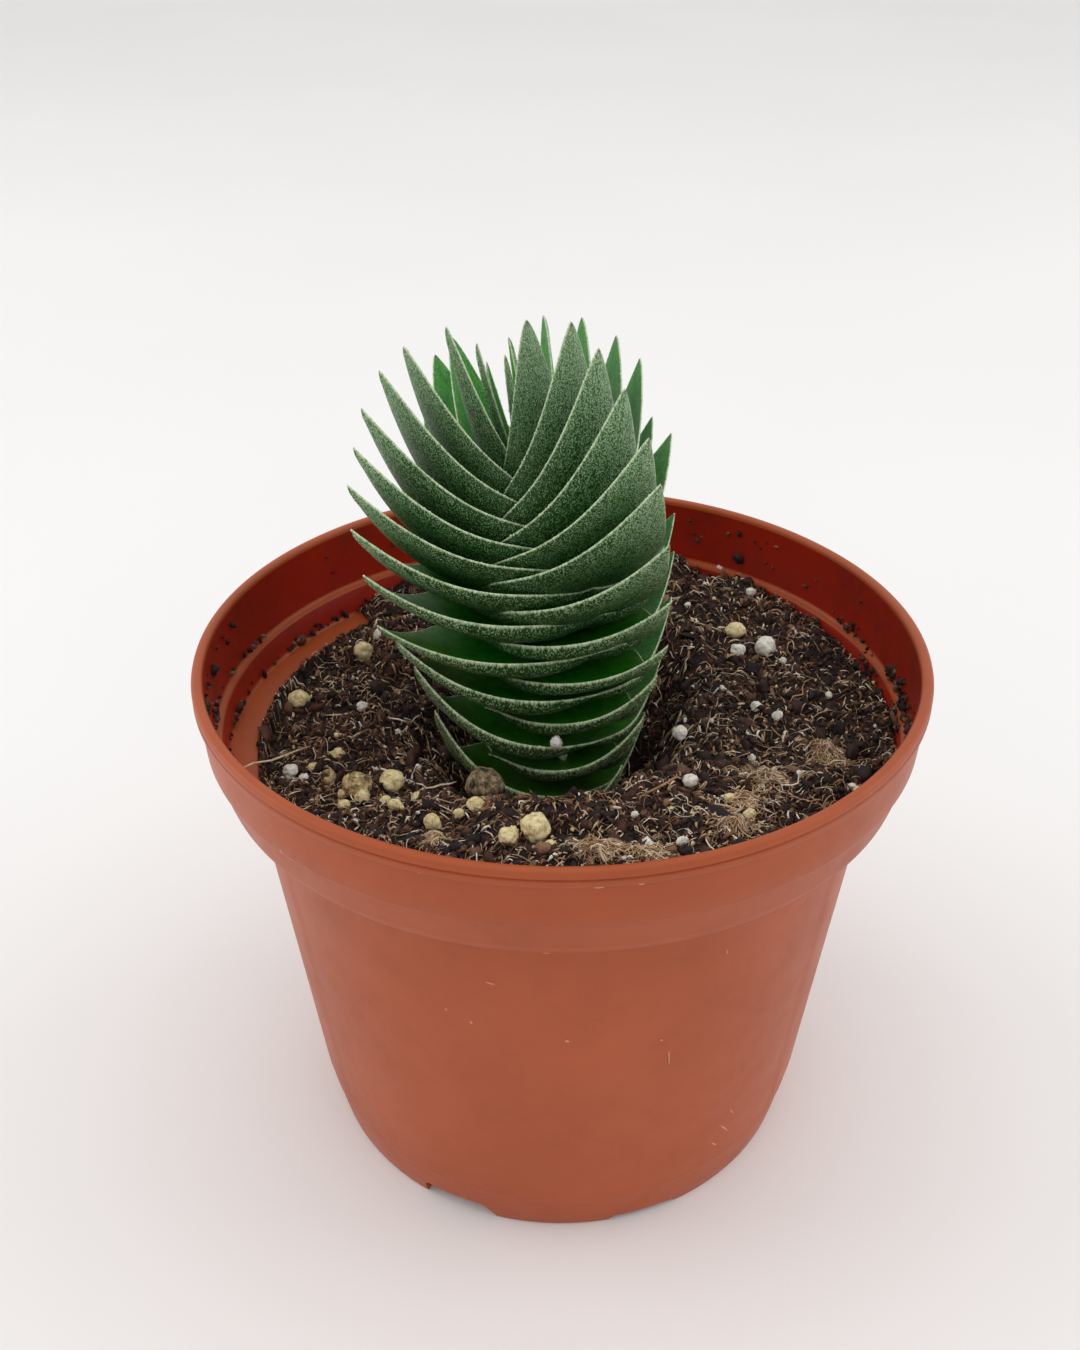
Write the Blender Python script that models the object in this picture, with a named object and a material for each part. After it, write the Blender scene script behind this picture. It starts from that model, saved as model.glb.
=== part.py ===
"""A crassula with its leaves stacked in a square column, in an 85 mm plastic nursery pot.

Metres, +Z up. The origin is the middle of the pot's foot, on the surface that the pot stands on, and -Y
is the side that shows best. The pot is turned round Z. The potting mix fills it up to an uneven top. The
plant is a stem that bends left and back, with pairs of leaves threaded on it, each pair turned a right
angle from the next.
"""

import math
import random

import bmesh
import bpy
import numpy as np
from mathutils import Matrix, Vector, noise

MM = 0.001
CLEARANCE = 0.3 * MM
TURN = 2 * math.pi

# Pot, outside
POT_HEIGHT = 65.3 * MM
RIM_RADIUS = 42.5 * MM
LIP_DROP = 2.0 * MM
COLLAR_STEP_HEIGHT = 57.6 * MM
COLLAR_RADIUS = 41.7 * MM
COLLAR_CORNER_RADIUS = 40.4 * MM
COLLAR_CORNER_HEIGHT = 53.7 * MM
COLLAR_BOTTOM = 52.2 * MM
BODY_TOP_RADIUS = 36.9 * MM
BODY_BOTTOM_RADIUS = 31.5 * MM
BAND_HEIGHT = 6.0 * MM
FOOT_RADIUS = 30.0 * MM
FOOT_RING_WIDTH = 1.7 * MM
EDGE_ROUND = 0.4 * MM

# Pot, inside
WALL = 1.0 * MM
LIP_INNER_RADIUS = 41.2 * MM
COLLAR_INNER_RADIUS = 40.6 * MM
LEDGE_HEIGHT = 56.8 * MM
LEDGE_WIDTH = 0.7 * MM
SHELF_HEIGHT = 53.1 * MM
SHELF_OUTER_RADIUS = 39.1 * MM
FLOOR_TOP = 4.1 * MM
FLOOR_BOTTOM = 3.0 * MM
FLOOR_CORNER = 0.8 * MM
POT_SEGMENTS = 48

# Openings in the pot's foot and floor, repeated round it
FOOT_REPEATS = 3
TALL_GAP_CENTRE = math.radians(-115)
TALL_GAP_WIDTH = 9.0 * MM
TALL_GAP_HEIGHT = 2.4 * MM
LOW_GAP_CENTRE = math.radians(-70)
LOW_GAP_WIDTH = 8.5 * MM
LOW_GAP_HEIGHT = 1.0 * MM
DRAIN_HOLES = 6
DRAIN_HOLE_RADIUS = 2.6 * MM
DRAIN_CIRCLE_RADIUS = 21.0 * MM
DRAIN_HOLE_SIDES = 16
CUTTER_OVERRUN = 2.0 * MM

# Potting mix: the height of its top at the wall, by bearing, and the hollow round the plant
MIX_WALL_HEIGHT = 54.7 * MM
MIX_RISE_RIGHT = 1.9 * MM
MIX_RISE_BACK = 0.3 * MM
MIX_RISE_FRONT_AND_BACK = 1.9 * MM
MIX_LEVEL_RADIUS = 15.0 * MM
MIX_HOLLOW_DEPTH = 5.5 * MM
MIX_HOLLOW_RADIUS = 13.0 * MM
MIX_LUMP_HEIGHT = 1.1 * MM
MIX_LUMP_SIZE = 7.0 * MM
MIX_LUMP_FALLOFF = 0.9
MIX_LUMP_FINENESS = 2.1
MIX_LUMP_OCTAVES = 3
MIX_BELOW_LEAVES = 0.8 * MM
MIX_HOLLOW_STEEPNESS = 0.22 / MM
MIX_RINGS = 9
MIX_TOP_LIMIT = 61.0 * MM
STEM_HOLE_PLAY = 0.5 * MM

# Plant: the stem's middle line, as a height above PLANT_BASE
PLANT_BASE = Vector((-1.5 * MM, 2.1 * MM, 50.0 * MM))
STEM_SLOPE = Vector((0.10, 0.20))
STEM_BEND = Vector((-7.1, 4.8))
STEM_BOTTOM = -13.0 * MM
STEM_TOP = 24.3 * MM
STEM_RADIUS = 3.4 * MM
STEM_TOP_RADIUS = 1.6 * MM
STEM_SIDES = 12
STEM_SIDE_OFFSET = 0.2
STEM_RINGS = 7

# Leaves: age counts the pairs down from the tip, and YOUNGEST pairs are still closed in the bud
YOUNGEST = -2
OLDEST = 24
# Bearings of the front leaf for the even and the odd ages
PAIR_BEARINGS = (math.radians(-53), math.radians(-149))
TOP_NODE = 23.1 * MM
NODE_DROP = 0.47 * MM
SAGGING_AGE = 12.25
SAG = 0.145 * MM
LEAF_LENGTH = 30.0 * MM
LONGEST_AGE = 4.5
YOUNG_SPAN = 12.25
OLD_SPAN = 30.0
BUD_ASCENT = math.radians(85)
OLD_ASCENT = math.radians(25)
OPENING_AGE = 8.5
OPENING_POWER = 0.95
LEAF_WIDTH = 0.60
OLD_LEAF_WIDTH = 0.70
WIDENING_AGES = (8, 12.5)
# Fullness of the blade: how much rounder young leaves are than old ones, whose tips are drawn out
OLD_FULLNESS = 1.08
YOUNG_FULLNESS = 0.54
FULLNESS_AGES = 4.0
DRAWN_OUT = -0.25
DRAWN_OUT_AGES = (12, 18)
# The two leaves of a pair are joined by a narrower waist
WAIST = 0.25
WAIST_SHARPNESS = 8
# The blade's profile: old leaves are flat and turn up only towards the tip
YOUNG_CURL = 1.9
OLD_CURL = 3.1
FLATTENING_AGE = 15.4
FLATTENING_SPAN = 1.8
LEAF_FLATNESS = 2.2
# Old pairs hang more level than the bent stem would hold them
LEVELLING = 0.37
LEVELLING_AGES = (7.4, 13.2)
LEAF_EDGE = 0.65 * MM
LEAF_MIDDLE = 0.75 * MM
OLD_EDGE_GROWTH = 0.8 * MM
THICKENING_AGES = (11, 16)
QUARTER_ANGLES = [math.radians(a) for a in (0, 9, 26, 52)]
LEAF_RINGS = (0.0, 0.55, 1.0)
LEAF_START_RADIUS = 2.3 * MM
LEAF_START_SHARE = 0.6
LEAF_VARIATION = 0.015
GROWTH_SEED = 7
LOW_LEAF_HEIGHT = 12 * MM
SLOPE_STEP = 0.02
# Old leaves hang, the back ones lowest, and the lowest front ones turn up again: ages and the factors there
FRONT_REACH = ((6, 11, 18, 24), (1.0, 1.08, 1.08, 0.95))
FRONT_LIFT = ((6, 12, 17, 24), (1.0, 0.85, 0.5, 1.4))
BACK_REACH = ((8, 15), (1.0, 0.9))
BACK_LIFT = ((8, 15), (1.0, 0.6))
# Leaves that plainly stand out: (age, side) gives reach, lift and turn in degrees, side 0 in front
ODD_LEAVES = {
    (0, 0): (0.95, 0.85, -15), (0, 1): (1.1, 0.85, 10), (1, 1): (1.15, 1.0, -5), (2, 0): (0.95, 0.95, -10),
    (9, 1): (0.9, 0.8, 0), (13, 1): (0.85, 0.3, 0),
}
ODD_SHARPNESS = 3

# Stones: bearing in degrees, distance from the pot's axis and diameter in millimetres
PUMICE = (
    (167, 34.0, 2.6), (147, 30.8, 2.4), (206, 26.0, 3.4), (207, 22.0, 3.0), (198, 28.5, 1.9),
    (242, 19.9, 1.9), (258, 26.0, 2.2), (264, 24.4, 3.2), (236, 25.0, 1.8), (37, 28.2, 2.6),
)
PERLITE = (
    (165, 25.9, 1.5), (193, 32.7, 1.7), (31, 26.4, 1.8), (28, 29.6, 2.9), (351, 14.4, 1.9),
    (312, 21.5, 1.7),
)
BARK = (236, 15.4, 4.2)
STONE_SEAT = 0.56
STONE_ROUGHNESS = 0.16
STONE_LUMPS = 1.3
STONE_STRETCH = (1.0, 0.9, 0.8)

SMOOTH_ANGLE = math.radians(40)


def clear_scene():
    for item in list(bpy.data.objects):
        bpy.data.objects.remove(item, do_unlink=True)


def srgb(hex_colour):
    """Linear RGBA of an sRGB hex colour."""
    channels = [int(hex_colour[i : i + 2], 16) / 255 for i in (0, 2, 4)]
    linear = [c / 12.92 if c <= 0.04045 else ((c + 0.055) / 1.055) ** 2.4 for c in channels]
    return (*linear, 1.0)


def material(name, hex_colour, roughness):
    made = bpy.data.materials.new(name)
    made.use_nodes = True
    shader = made.node_tree.nodes["Principled BSDF"]
    shader.inputs["Base Color"].default_value = srgb(hex_colour)
    shader.inputs["Roughness"].default_value = roughness
    return made


def add_object(name, points, faces, finish):
    mesh = bpy.data.meshes.new(name)
    mesh.from_pydata([tuple(p) for p in points], [], faces)
    shape = bmesh.new()
    shape.from_mesh(mesh)
    bmesh.ops.recalc_face_normals(shape, faces=shape.faces)
    shape.to_mesh(mesh)
    shape.free()
    mesh.materials.append(finish)
    mesh.shade_smooth()
    mesh.set_sharp_from_angle(angle=SMOOTH_ANGLE)
    made = bpy.data.objects.new(name, mesh)
    bpy.context.scene.collection.objects.link(made)
    return made


def turned(name, profile, finish, segments=POT_SEGMENTS):
    """A closed profile of (radius, height) turned round Z. Points at radius 0 become one point each."""
    points, rows = [], []
    for radius, height in profile:
        if radius == 0:
            rows.append([len(points)] * segments)
            points.append((0, 0, height))
            continue
        rows.append([len(points) + i for i in range(segments)])
        for i in range(segments):
            bearing = TURN * i / segments
            points.append((radius * math.cos(bearing), radius * math.sin(bearing), height))
    faces = []
    for upper, lower in zip(rows, rows[1:] + rows[:1]):
        if len(set(upper)) == 1 and len(set(lower)) == 1:
            continue
        for i in range(segments):
            k = (i + 1) % segments
            corners = [upper[i], upper[k], lower[k], lower[i]]
            faces.append([c for n, c in enumerate(corners) if c not in corners[:n]])
    return add_object(name, points, faces, finish)


def combine(target, operation, helpers):
    """One applied Boolean of the target with all helpers, after which the helpers are gone."""
    group = bpy.data.collections.new(target.name + "_helpers")
    bpy.context.scene.collection.children.link(group)
    for helper in helpers:
        bpy.context.scene.collection.objects.unlink(helper)
        group.objects.link(helper)
    joint = target.modifiers.new("Boolean", "BOOLEAN")
    joint.operation = operation
    joint.operand_type = "COLLECTION"
    joint.collection = group
    joint.solver = "EXACT"
    with bpy.context.temp_override(object=target, active_object=target):
        bpy.ops.object.modifier_apply(modifier=joint.name)
    for helper in helpers:
        bpy.data.objects.remove(helper, do_unlink=True)
    bpy.data.collections.remove(group)
    target.data.set_sharp_from_angle(angle=SMOOTH_ANGLE)


def box_cutter(name, bearing, radius, size):
    """A box across the foot ring at a bearing, its middle on the surface that the pot stands on."""
    length, width, height = size
    along = Vector((math.cos(bearing), math.sin(bearing), 0))
    across = Vector((-math.sin(bearing), math.cos(bearing), 0))
    points = []
    for z in (-height, height):
        for u, v in ((-1, -1), (1, -1), (1, 1), (-1, 1)):
            flat = along * (radius + u * length / 2) + across * (v * width / 2)
            points.append(flat + Vector((0, 0, z)))
    faces = [(0, 3, 2, 1), (4, 5, 6, 7), (0, 1, 5, 4), (1, 2, 6, 5), (2, 3, 7, 6), (3, 0, 4, 7)]
    return add_object(name, points, faces, None)


def inner_wall():
    """The pot's inside from the rim to the floor's edge, as (radius, height)."""
    return [
        (LIP_INNER_RADIUS, POT_HEIGHT - EDGE_ROUND),
        (LIP_INNER_RADIUS, POT_HEIGHT - LIP_DROP),
        (COLLAR_INNER_RADIUS, LEDGE_HEIGHT + EDGE_ROUND),
        (COLLAR_INNER_RADIUS - LEDGE_WIDTH, LEDGE_HEIGHT),
        (SHELF_OUTER_RADIUS + EDGE_ROUND, SHELF_HEIGHT + EDGE_ROUND),
        (SHELF_OUTER_RADIUS, SHELF_HEIGHT),
        (BODY_TOP_RADIUS - WALL + EDGE_ROUND, SHELF_HEIGHT - EDGE_ROUND),
        (BODY_TOP_RADIUS - WALL, SHELF_HEIGHT - 3 * EDGE_ROUND),
        (BODY_BOTTOM_RADIUS - WALL, FLOOR_TOP + FLOOR_CORNER),
        (BODY_BOTTOM_RADIUS - WALL - FLOOR_CORNER, FLOOR_TOP),
    ]


def outer_wall():
    """The pot's outside from the rim to the foot, as (radius, height)."""
    return [
        (LIP_INNER_RADIUS + EDGE_ROUND, POT_HEIGHT),
        (RIM_RADIUS - EDGE_ROUND, POT_HEIGHT),
        (RIM_RADIUS, POT_HEIGHT - EDGE_ROUND),
        (RIM_RADIUS, POT_HEIGHT - LIP_DROP + EDGE_ROUND),
        (RIM_RADIUS - EDGE_ROUND, POT_HEIGHT - LIP_DROP),
        (COLLAR_RADIUS, COLLAR_STEP_HEIGHT + EDGE_ROUND),
        (COLLAR_RADIUS - EDGE_ROUND, COLLAR_STEP_HEIGHT),
        (COLLAR_CORNER_RADIUS, COLLAR_CORNER_HEIGHT),
        (COLLAR_CORNER_RADIUS - 2 * EDGE_ROUND, COLLAR_BOTTOM + EDGE_ROUND),
        (BODY_TOP_RADIUS + EDGE_ROUND, COLLAR_BOTTOM - EDGE_ROUND),
        (BODY_TOP_RADIUS, COLLAR_BOTTOM - 2 * EDGE_ROUND),
        (BODY_BOTTOM_RADIUS, BAND_HEIGHT),
        (FOOT_RADIUS + EDGE_ROUND, EDGE_ROUND),
        (FOOT_RADIUS, 0),
    ]


def make_foot_gaps():
    gaps = []
    for repeat in range(FOOT_REPEATS):
        turn = TURN * repeat / FOOT_REPEATS
        across_ring = 2 * FOOT_RING_WIDTH + CUTTER_OVERRUN
        tall = (across_ring, TALL_GAP_WIDTH, TALL_GAP_HEIGHT)
        low = (across_ring, LOW_GAP_WIDTH, LOW_GAP_HEIGHT)
        gaps.append(box_cutter(f"tall_gap_{repeat}", TALL_GAP_CENTRE + turn, FOOT_RADIUS, tall))
        gaps.append(box_cutter(f"low_gap_{repeat}", LOW_GAP_CENTRE + turn, FOOT_RADIUS, low))
    return gaps


def make_drain_drills():
    top, bottom = FLOOR_TOP + CUTTER_OVERRUN, FLOOR_BOTTOM - CUTTER_OVERRUN
    profile = [(0, top), (DRAIN_HOLE_RADIUS, top), (DRAIN_HOLE_RADIUS, bottom), (0, bottom)]
    drills = []
    for hole in range(DRAIN_HOLES):
        bearing = TURN * (hole + 0.5) / DRAIN_HOLES
        drill = turned(f"drain_{hole}", profile, None, segments=DRAIN_HOLE_SIDES)
        drill.location.x = DRAIN_CIRCLE_RADIUS * math.cos(bearing)
        drill.location.y = DRAIN_CIRCLE_RADIUS * math.sin(bearing)
        drills.append(drill)
    bpy.context.view_layer.update()
    return drills


def make_pot():
    foot_inner = FOOT_RADIUS - FOOT_RING_WIDTH
    underside = [(foot_inner, 0), (foot_inner, FLOOR_BOTTOM), (0, FLOOR_BOTTOM)]
    inside = [(0, FLOOR_TOP)] + inner_wall()[::-1]
    plastic = material("terracotta_plastic", "A85C3F", 0.45)
    pot = turned("pot", outer_wall() + underside + inside, plastic)
    combine(pot, "DIFFERENCE", make_foot_gaps() + make_drain_drills())


def stem_point(height):
    """The stem's middle line at a height above PLANT_BASE, and its direction there."""
    bent = max(height, 0.0)
    offset = STEM_SLOPE * height + STEM_BEND * bent * bent
    slope = STEM_SLOPE + 2 * bent * STEM_BEND
    place = PLANT_BASE + Vector((offset.x, offset.y, height))
    return place, Vector((slope.x, slope.y, 1.0)).normalized()


def stem_frame(height, level):
    """Place, right, back and up for what grows at a height on the stem, level from 0 to 1."""
    place, along = stem_point(height)
    up = along.lerp(Vector((0, 0, 1)), level).normalized()
    right = (Vector((1, 0, 0)) - up * up.x).normalized()
    return place, right, up.cross(right), up


def node_height(age):
    """Where a pair grows on the stem. The oldest pairs have sagged."""
    return TOP_NODE - NODE_DROP * age - SAG * max(age - SAGGING_AGE, 0) ** 2


def progress(age, ages):
    """How far a pair has come, from 0 to 1, in a change that goes on between two ages."""
    return min(max((age - ages[0]) / (ages[1] - ages[0]), 0), 1)


def leaf_reach_and_rise(age):
    """How far out and how far up the tip of a leaf stands from its node."""
    span = YOUNG_SPAN if age < LONGEST_AGE else OLD_SPAN
    length = LEAF_LENGTH * (1 - ((age - LONGEST_AGE) / span) ** 2)
    closed = math.exp(-((max(age, 0) / OPENING_AGE) ** OPENING_POWER))
    ascent = OLD_ASCENT + (BUD_ASCENT - OLD_ASCENT) * closed
    return length * math.cos(ascent), length * math.sin(ascent)


def outline(age, angle):
    """The margin as a share of the pair's reach: two points, with blunt corners half way between."""
    width = LEAF_WIDTH + (OLD_LEAF_WIDTH - LEAF_WIDTH) * progress(age, WIDENING_AGES)
    fullness = OLD_FULLNESS + YOUNG_FULLNESS * math.exp(-max(age - 2, 0) / FULLNESS_AGES)
    if age % 2 == 0:
        fullness += DRAWN_OUT * progress(age, DRAWN_OUT_AGES)
    along = abs(math.cos(angle)) ** fullness
    across = (abs(math.sin(angle)) / width) ** fullness
    return (along + across) ** (-1 / fullness) * (1 - WAIST * abs(math.sin(angle)) ** WAIST_SHARPNESS)


def pair_angles():
    """Angles round a pair, from the front leaf's tip, close together near both tips."""
    angles = []
    for tip in (0, math.pi):
        angles += [tip + a for a in QUARTER_ANGLES] + [tip + math.pi / 2]
        angles += [tip + math.pi - a for a in QUARTER_ANGLES[:0:-1]]
    return angles


def leaf_factors(age, side):
    """Reach, lift and turn in degrees of one leaf, against the rule for its pair."""
    reach, lift = (BACK_REACH, BACK_LIFT) if side else (FRONT_REACH, FRONT_LIFT)
    usual = (float(np.interp(age, *reach)), float(np.interp(age, *lift)), 0)
    return ODD_LEAVES.get((age, side), usual)


class LeafPair:
    """Two opposite leaves joined round the stem, as one thin bowl with two long points."""

    def __init__(self, age, growth):
        self.age = age
        self.reach, self.rise = leaf_reach_and_rise(age)
        level = LEVELLING * progress(age, LEVELLING_AGES)
        self.place, self.right, self.back, self.up = stem_frame(node_height(age), level)
        self.bearing = PAIR_BEARINGS[age % 2]
        flattened = 1 / (1 + math.exp((FLATTENING_AGE - age) / FLATTENING_SPAN))
        self.curl = YOUNG_CURL + (OLD_CURL - YOUNG_CURL) * flattened
        self.odd = []
        for side in (0, 1):
            longer, higher, turned = leaf_factors(age, side)
            longer += growth.uniform(-LEAF_VARIATION, LEAF_VARIATION)
            higher += growth.uniform(-LEAF_VARIATION, LEAF_VARIATION)
            self.odd.append(Vector((longer - 1, higher - 1, math.radians(turned))))

    def upper(self, share, angle):
        """A point of the upper face, at a share of the way from the stem to the margin."""
        front = ((1 + math.cos(angle)) / 2) ** ODD_SHARPNESS
        rear = ((1 - math.cos(angle)) / 2) ** ODD_SHARPNESS
        longer, higher, turned = Vector((1, 1, 0)) + self.odd[0] * front + self.odd[1] * rear
        margin = outline(self.age, angle)
        start = min(LEAF_START_RADIUS / (self.reach * longer), LEAF_START_SHARE * margin)
        out = start + (margin - start) * share
        along, across = abs(math.cos(angle)) ** LEAF_FLATNESS, abs(math.sin(angle)) ** LEAF_FLATNESS
        level = (along + across) ** (1 / LEAF_FLATNESS)
        height = self.rise * higher * (out * level) ** self.curl
        turn = self.bearing + angle + turned
        outward = self.right * math.cos(turn) + self.back * math.sin(turn)
        return self.place + outward * (out * self.reach * longer) + self.up * height

    def under(self, share, angle):
        """The point of the lower face, one thickness below the upper face along its normal."""
        here = self.upper(share, angle)
        along = here - self.upper(share - SLOPE_STEP, angle)
        across = self.upper(share, angle + SLOPE_STEP) - self.upper(share, angle - SLOPE_STEP)
        normal = along.cross(across).normalized()
        edge = LEAF_EDGE + OLD_EDGE_GROWTH * progress(self.age, THICKENING_AGES) * abs(math.sin(2 * angle))
        thickness = LEAF_MIDDLE + (edge - LEAF_MIDDLE) * share
        return here - normal * math.copysign(thickness, normal.dot(self.up))


def make_leaf_pair(age, growth, finish):
    pair = LeafPair(age, growth)
    angles = pair_angles()
    count = len(angles)
    points = [pair.place, pair.place - pair.up * LEAF_MIDDLE]
    for share in LEAF_RINGS:
        points += [pair.upper(share, a) for a in angles]
    for share in LEAF_RINGS:
        points += [pair.under(share, a) for a in angles]
    top_rows = [range(2 + n * count, 2 + (n + 1) * count) for n in range(len(LEAF_RINGS))]
    low_rows = [[i + len(LEAF_RINGS) * count for i in row] for row in top_rows]
    faces = []
    for i in range(count):
        k = (i + 1) % count
        faces.append((0, top_rows[0][i], top_rows[0][k]))
        faces.append((1, low_rows[0][k], low_rows[0][i]))
        for rows in (top_rows, low_rows, (top_rows[-1], low_rows[-1])):
            for inside, outside in zip(rows, rows[1:]):
                faces.append((inside[i], outside[i], outside[k]))
                faces.append((inside[i], outside[k], inside[k]))
    return add_object(f"pair_{age - YOUNGEST:02d}", points, faces, finish)


def fill_sealed_hollows(plant):
    """Joining leaves can seal small pockets between them, whose inner faces are shells of their own."""
    shape = bmesh.new()
    shape.from_mesh(plant.data)
    waiting = set(shape.verts)
    shells = []
    while waiting:
        shell, edge = set(), {waiting.pop()}
        while edge:
            vertex = edge.pop()
            shell.add(vertex)
            linked = {e.other_vert(vertex) for e in vertex.link_edges} & waiting
            waiting -= linked
            edge |= linked
        shells.append(shell)
    shells.sort(key=len)
    for shell in shells[:-1]:
        bmesh.ops.delete(shape, geom=list(shell), context="VERTS")
    shape.to_mesh(plant.data)
    shape.free()


def make_stem(finish):
    points, rows = [], []
    for ring in range(STEM_RINGS + 1):
        share = ring / STEM_RINGS
        place, _ = stem_point(STEM_BOTTOM + (STEM_TOP - STEM_BOTTOM) * share)
        radius = STEM_RADIUS + (STEM_TOP_RADIUS - STEM_RADIUS) * share
        rows.append([len(points) + i for i in range(STEM_SIDES)])
        for i in range(STEM_SIDES):
            turn = TURN * i / STEM_SIDES + STEM_SIDE_OFFSET
            points.append(place + Vector((math.cos(turn), math.sin(turn), 0)) * radius)
    faces = [rows[0][::-1], rows[-1]]
    for lower, higher in zip(rows, rows[1:]):
        for i in range(STEM_SIDES):
            k = (i + 1) % STEM_SIDES
            faces.append((lower[i], lower[k], higher[k], higher[i]))
    return add_object("crassula", points, faces, finish)


def make_plant():
    """Stem and leaves grown together as one body."""
    leaf = material("grey_green_leaf", "5E8463", 0.55)
    plant = make_stem(leaf)
    growth = random.Random(GROWTH_SEED)
    pairs = [make_leaf_pair(age, growth, leaf) for age in range(YOUNGEST, OLDEST + 1)]
    combine(plant, "UNION", pairs)
    fill_sealed_hollows(plant)
    return plant


def mix_surface(x, y):
    """Height of the mix's top before the plant presses it down."""
    bearing = math.atan2(y, x)
    level = min(1, math.hypot(x, y) / MIX_LEVEL_RADIUS)
    height = MIX_WALL_HEIGHT + MIX_RISE_RIGHT * math.cos(bearing) * level
    height += MIX_RISE_BACK * math.sin(bearing) * level
    height -= MIX_RISE_FRONT_AND_BACK * math.cos(2 * bearing) * level
    apart = math.hypot(x - PLANT_BASE.x, y - PLANT_BASE.y)
    hollow = MIX_HOLLOW_DEPTH * math.exp(-((apart / MIX_HOLLOW_RADIUS) ** 2))
    spot = Vector((x, y, 0)) / MIX_LUMP_SIZE
    lumps = noise.fractal(spot, MIX_LUMP_FALLOFF, MIX_LUMP_FINENESS, MIX_LUMP_OCTAVES)
    return height - hollow + MIX_LUMP_HEIGHT * lumps


def low_leaf_points(plant):
    """Points all over the plant's lowest pairs, which the mix's top has to stay below."""
    lowest_pair, up = stem_point(node_height(OLDEST))
    highest = PLANT_BASE.z + LOW_LEAF_HEIGHT
    points = [v.co.copy() for v in plant.data.vertices]
    points += [(points[a] + points[b]) / 2 for a, b in (e.vertices for e in plant.data.edges)]
    points += [face.center.copy() for face in plant.data.polygons]
    return [p for p in points if p.z < highest and (p - lowest_pair).dot(up) > -2 * LEAF_MIDDLE]


def mix_height(x, y, leaves):
    """Height of the mix's top, which gives way under each low point of the leaves."""
    height = mix_surface(x, y)
    for point in leaves:
        apart = math.hypot(x - point.x, y - point.y)
        height = min(height, point.z - MIX_BELOW_LEAVES + MIX_HOLLOW_STEEPNESS * apart * apart)
    return height


def make_mix(leaves):
    """The fill of the pot, cut off along its uneven top, with a plain round hole for the stem."""
    peat = material("potting_mix", "2E2119", 0.95)
    wall = [(r - CLEARANCE, z) for r, z in inner_wall() if z < MIX_TOP_LIMIT]
    wall[-1] = (wall[-1][0], FLOOR_TOP + CLEARANCE)
    top = [(0, MIX_TOP_LIMIT), (wall[0][0], MIX_TOP_LIMIT)]
    mix = turned("potting_mix", top + wall + [(0, FLOOR_TOP + CLEARANCE)], peat)
    combine(mix, "INTERSECT", [make_mix_block(leaves)])
    return mix


def ring_points(centre, radius, height):
    points = []
    for i in range(POT_SEGMENTS):
        turn = TURN * i / POT_SEGMENTS
        x, y = centre.x + radius * math.cos(turn), centre.y + radius * math.sin(turn)
        points.append(Vector((x, y, height)))
    return points


def make_mix_block(leaves):
    """A closed block under the mix's top, larger than the pot, with the stem's hole in it."""
    foot, _ = stem_point(STEM_BOTTOM)
    foot.z -= CLEARANCE
    neck, _ = stem_point(node_height(OLDEST))
    hole_radius = STEM_RADIUS + CLEARANCE + STEM_HOLE_PLAY
    outside = RIM_RADIUS + CUTTER_OVERRUN
    bottom = Vector((0, 0, -CUTTER_OVERRUN))
    rings = [ring_points(foot, hole_radius, foot.z)]
    for ring in range(MIX_RINGS + 1):
        share = ring / MIX_RINGS
        radius = hole_radius + (outside - hole_radius) * share
        points = ring_points(neck * (1 - share), radius, 0)
        for point in points:
            point.z = mix_height(point.x, point.y, leaves)
        rings.append(points)
    rings.append(ring_points(bottom, outside, bottom.z))
    points = [foot, bottom] + [p for ring in rings for p in ring]
    rows = [range(2 + n * POT_SEGMENTS, 2 + (n + 1) * POT_SEGMENTS) for n in range(len(rings))]
    faces = []
    for i in range(POT_SEGMENTS):
        k = (i + 1) % POT_SEGMENTS
        faces.append((0, rows[0][i], rows[0][k]))
        faces.append((1, rows[-1][k], rows[-1][i]))
        for inner, outer in zip(rows, rows[1:]):
            faces.append((inner[i], outer[i], outer[k]))
            faces.append((inner[i], outer[k], inner[k]))
    return add_object("mix_block", points, faces, None)


def make_stone(name, spot, finish, leaves, seed, swell=0.0):
    """A rounded stone seated in the mix. swell enlarges it into the nest that it lies in."""
    bearing, distance, diameter = spot
    x = distance * MM * math.cos(math.radians(bearing))
    y = distance * MM * math.sin(math.radians(bearing))
    radius = diameter * MM / 2
    middle = Vector((x, y, mix_height(x, y, leaves) + radius * STONE_SEAT))
    turn = Matrix.Rotation(random.Random(seed).uniform(0, TURN), 3, "Z")
    shape = bmesh.new()
    bmesh.ops.create_icosphere(shape, subdivisions=2, radius=1.0)
    points = []
    for vertex in shape.verts:
        lumps = noise.noise(vertex.co * STONE_LUMPS + Vector((seed, 0, 0)))
        bump = 1 + STONE_ROUGHNESS * lumps
        point = vertex.co * bump * Vector(STONE_STRETCH) * radius + vertex.co * swell
        points.append(middle + turn @ point)
    faces = [[v.index for v in face.verts] for face in shape.faces]
    shape.free()
    return add_object(name, points, faces, finish)


def make_stones(mix, leaves):
    """Pumice, perlite and one bark chip, and the nests that they lie in."""
    pumice = material("cream_pumice", "D9C79A", 0.9)
    perlite = material("white_perlite", "E6E3DA", 0.85)
    bark = material("tan_bark", "8A7656", 0.9)
    spots = [(f"pumice_{i + 1:02d}", spot, pumice) for i, spot in enumerate(PUMICE)]
    spots += [(f"perlite_{i + 1:02d}", spot, perlite) for i, spot in enumerate(PERLITE)]
    spots.append(("bark_chip", BARK, bark))
    nests = []
    for seed, (name, spot, finish) in enumerate(spots):
        make_stone(name, spot, finish, leaves, seed)
        nests.append(make_stone(name + "_nest", spot, finish, leaves, seed, swell=CLEARANCE))
    combine(mix, "DIFFERENCE", nests)


clear_scene()
make_pot()
crassula = make_plant()
low_leaves = low_leaf_points(crassula)
potting_mix = make_mix(low_leaves)
make_stones(potting_mix, low_leaves)
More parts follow.
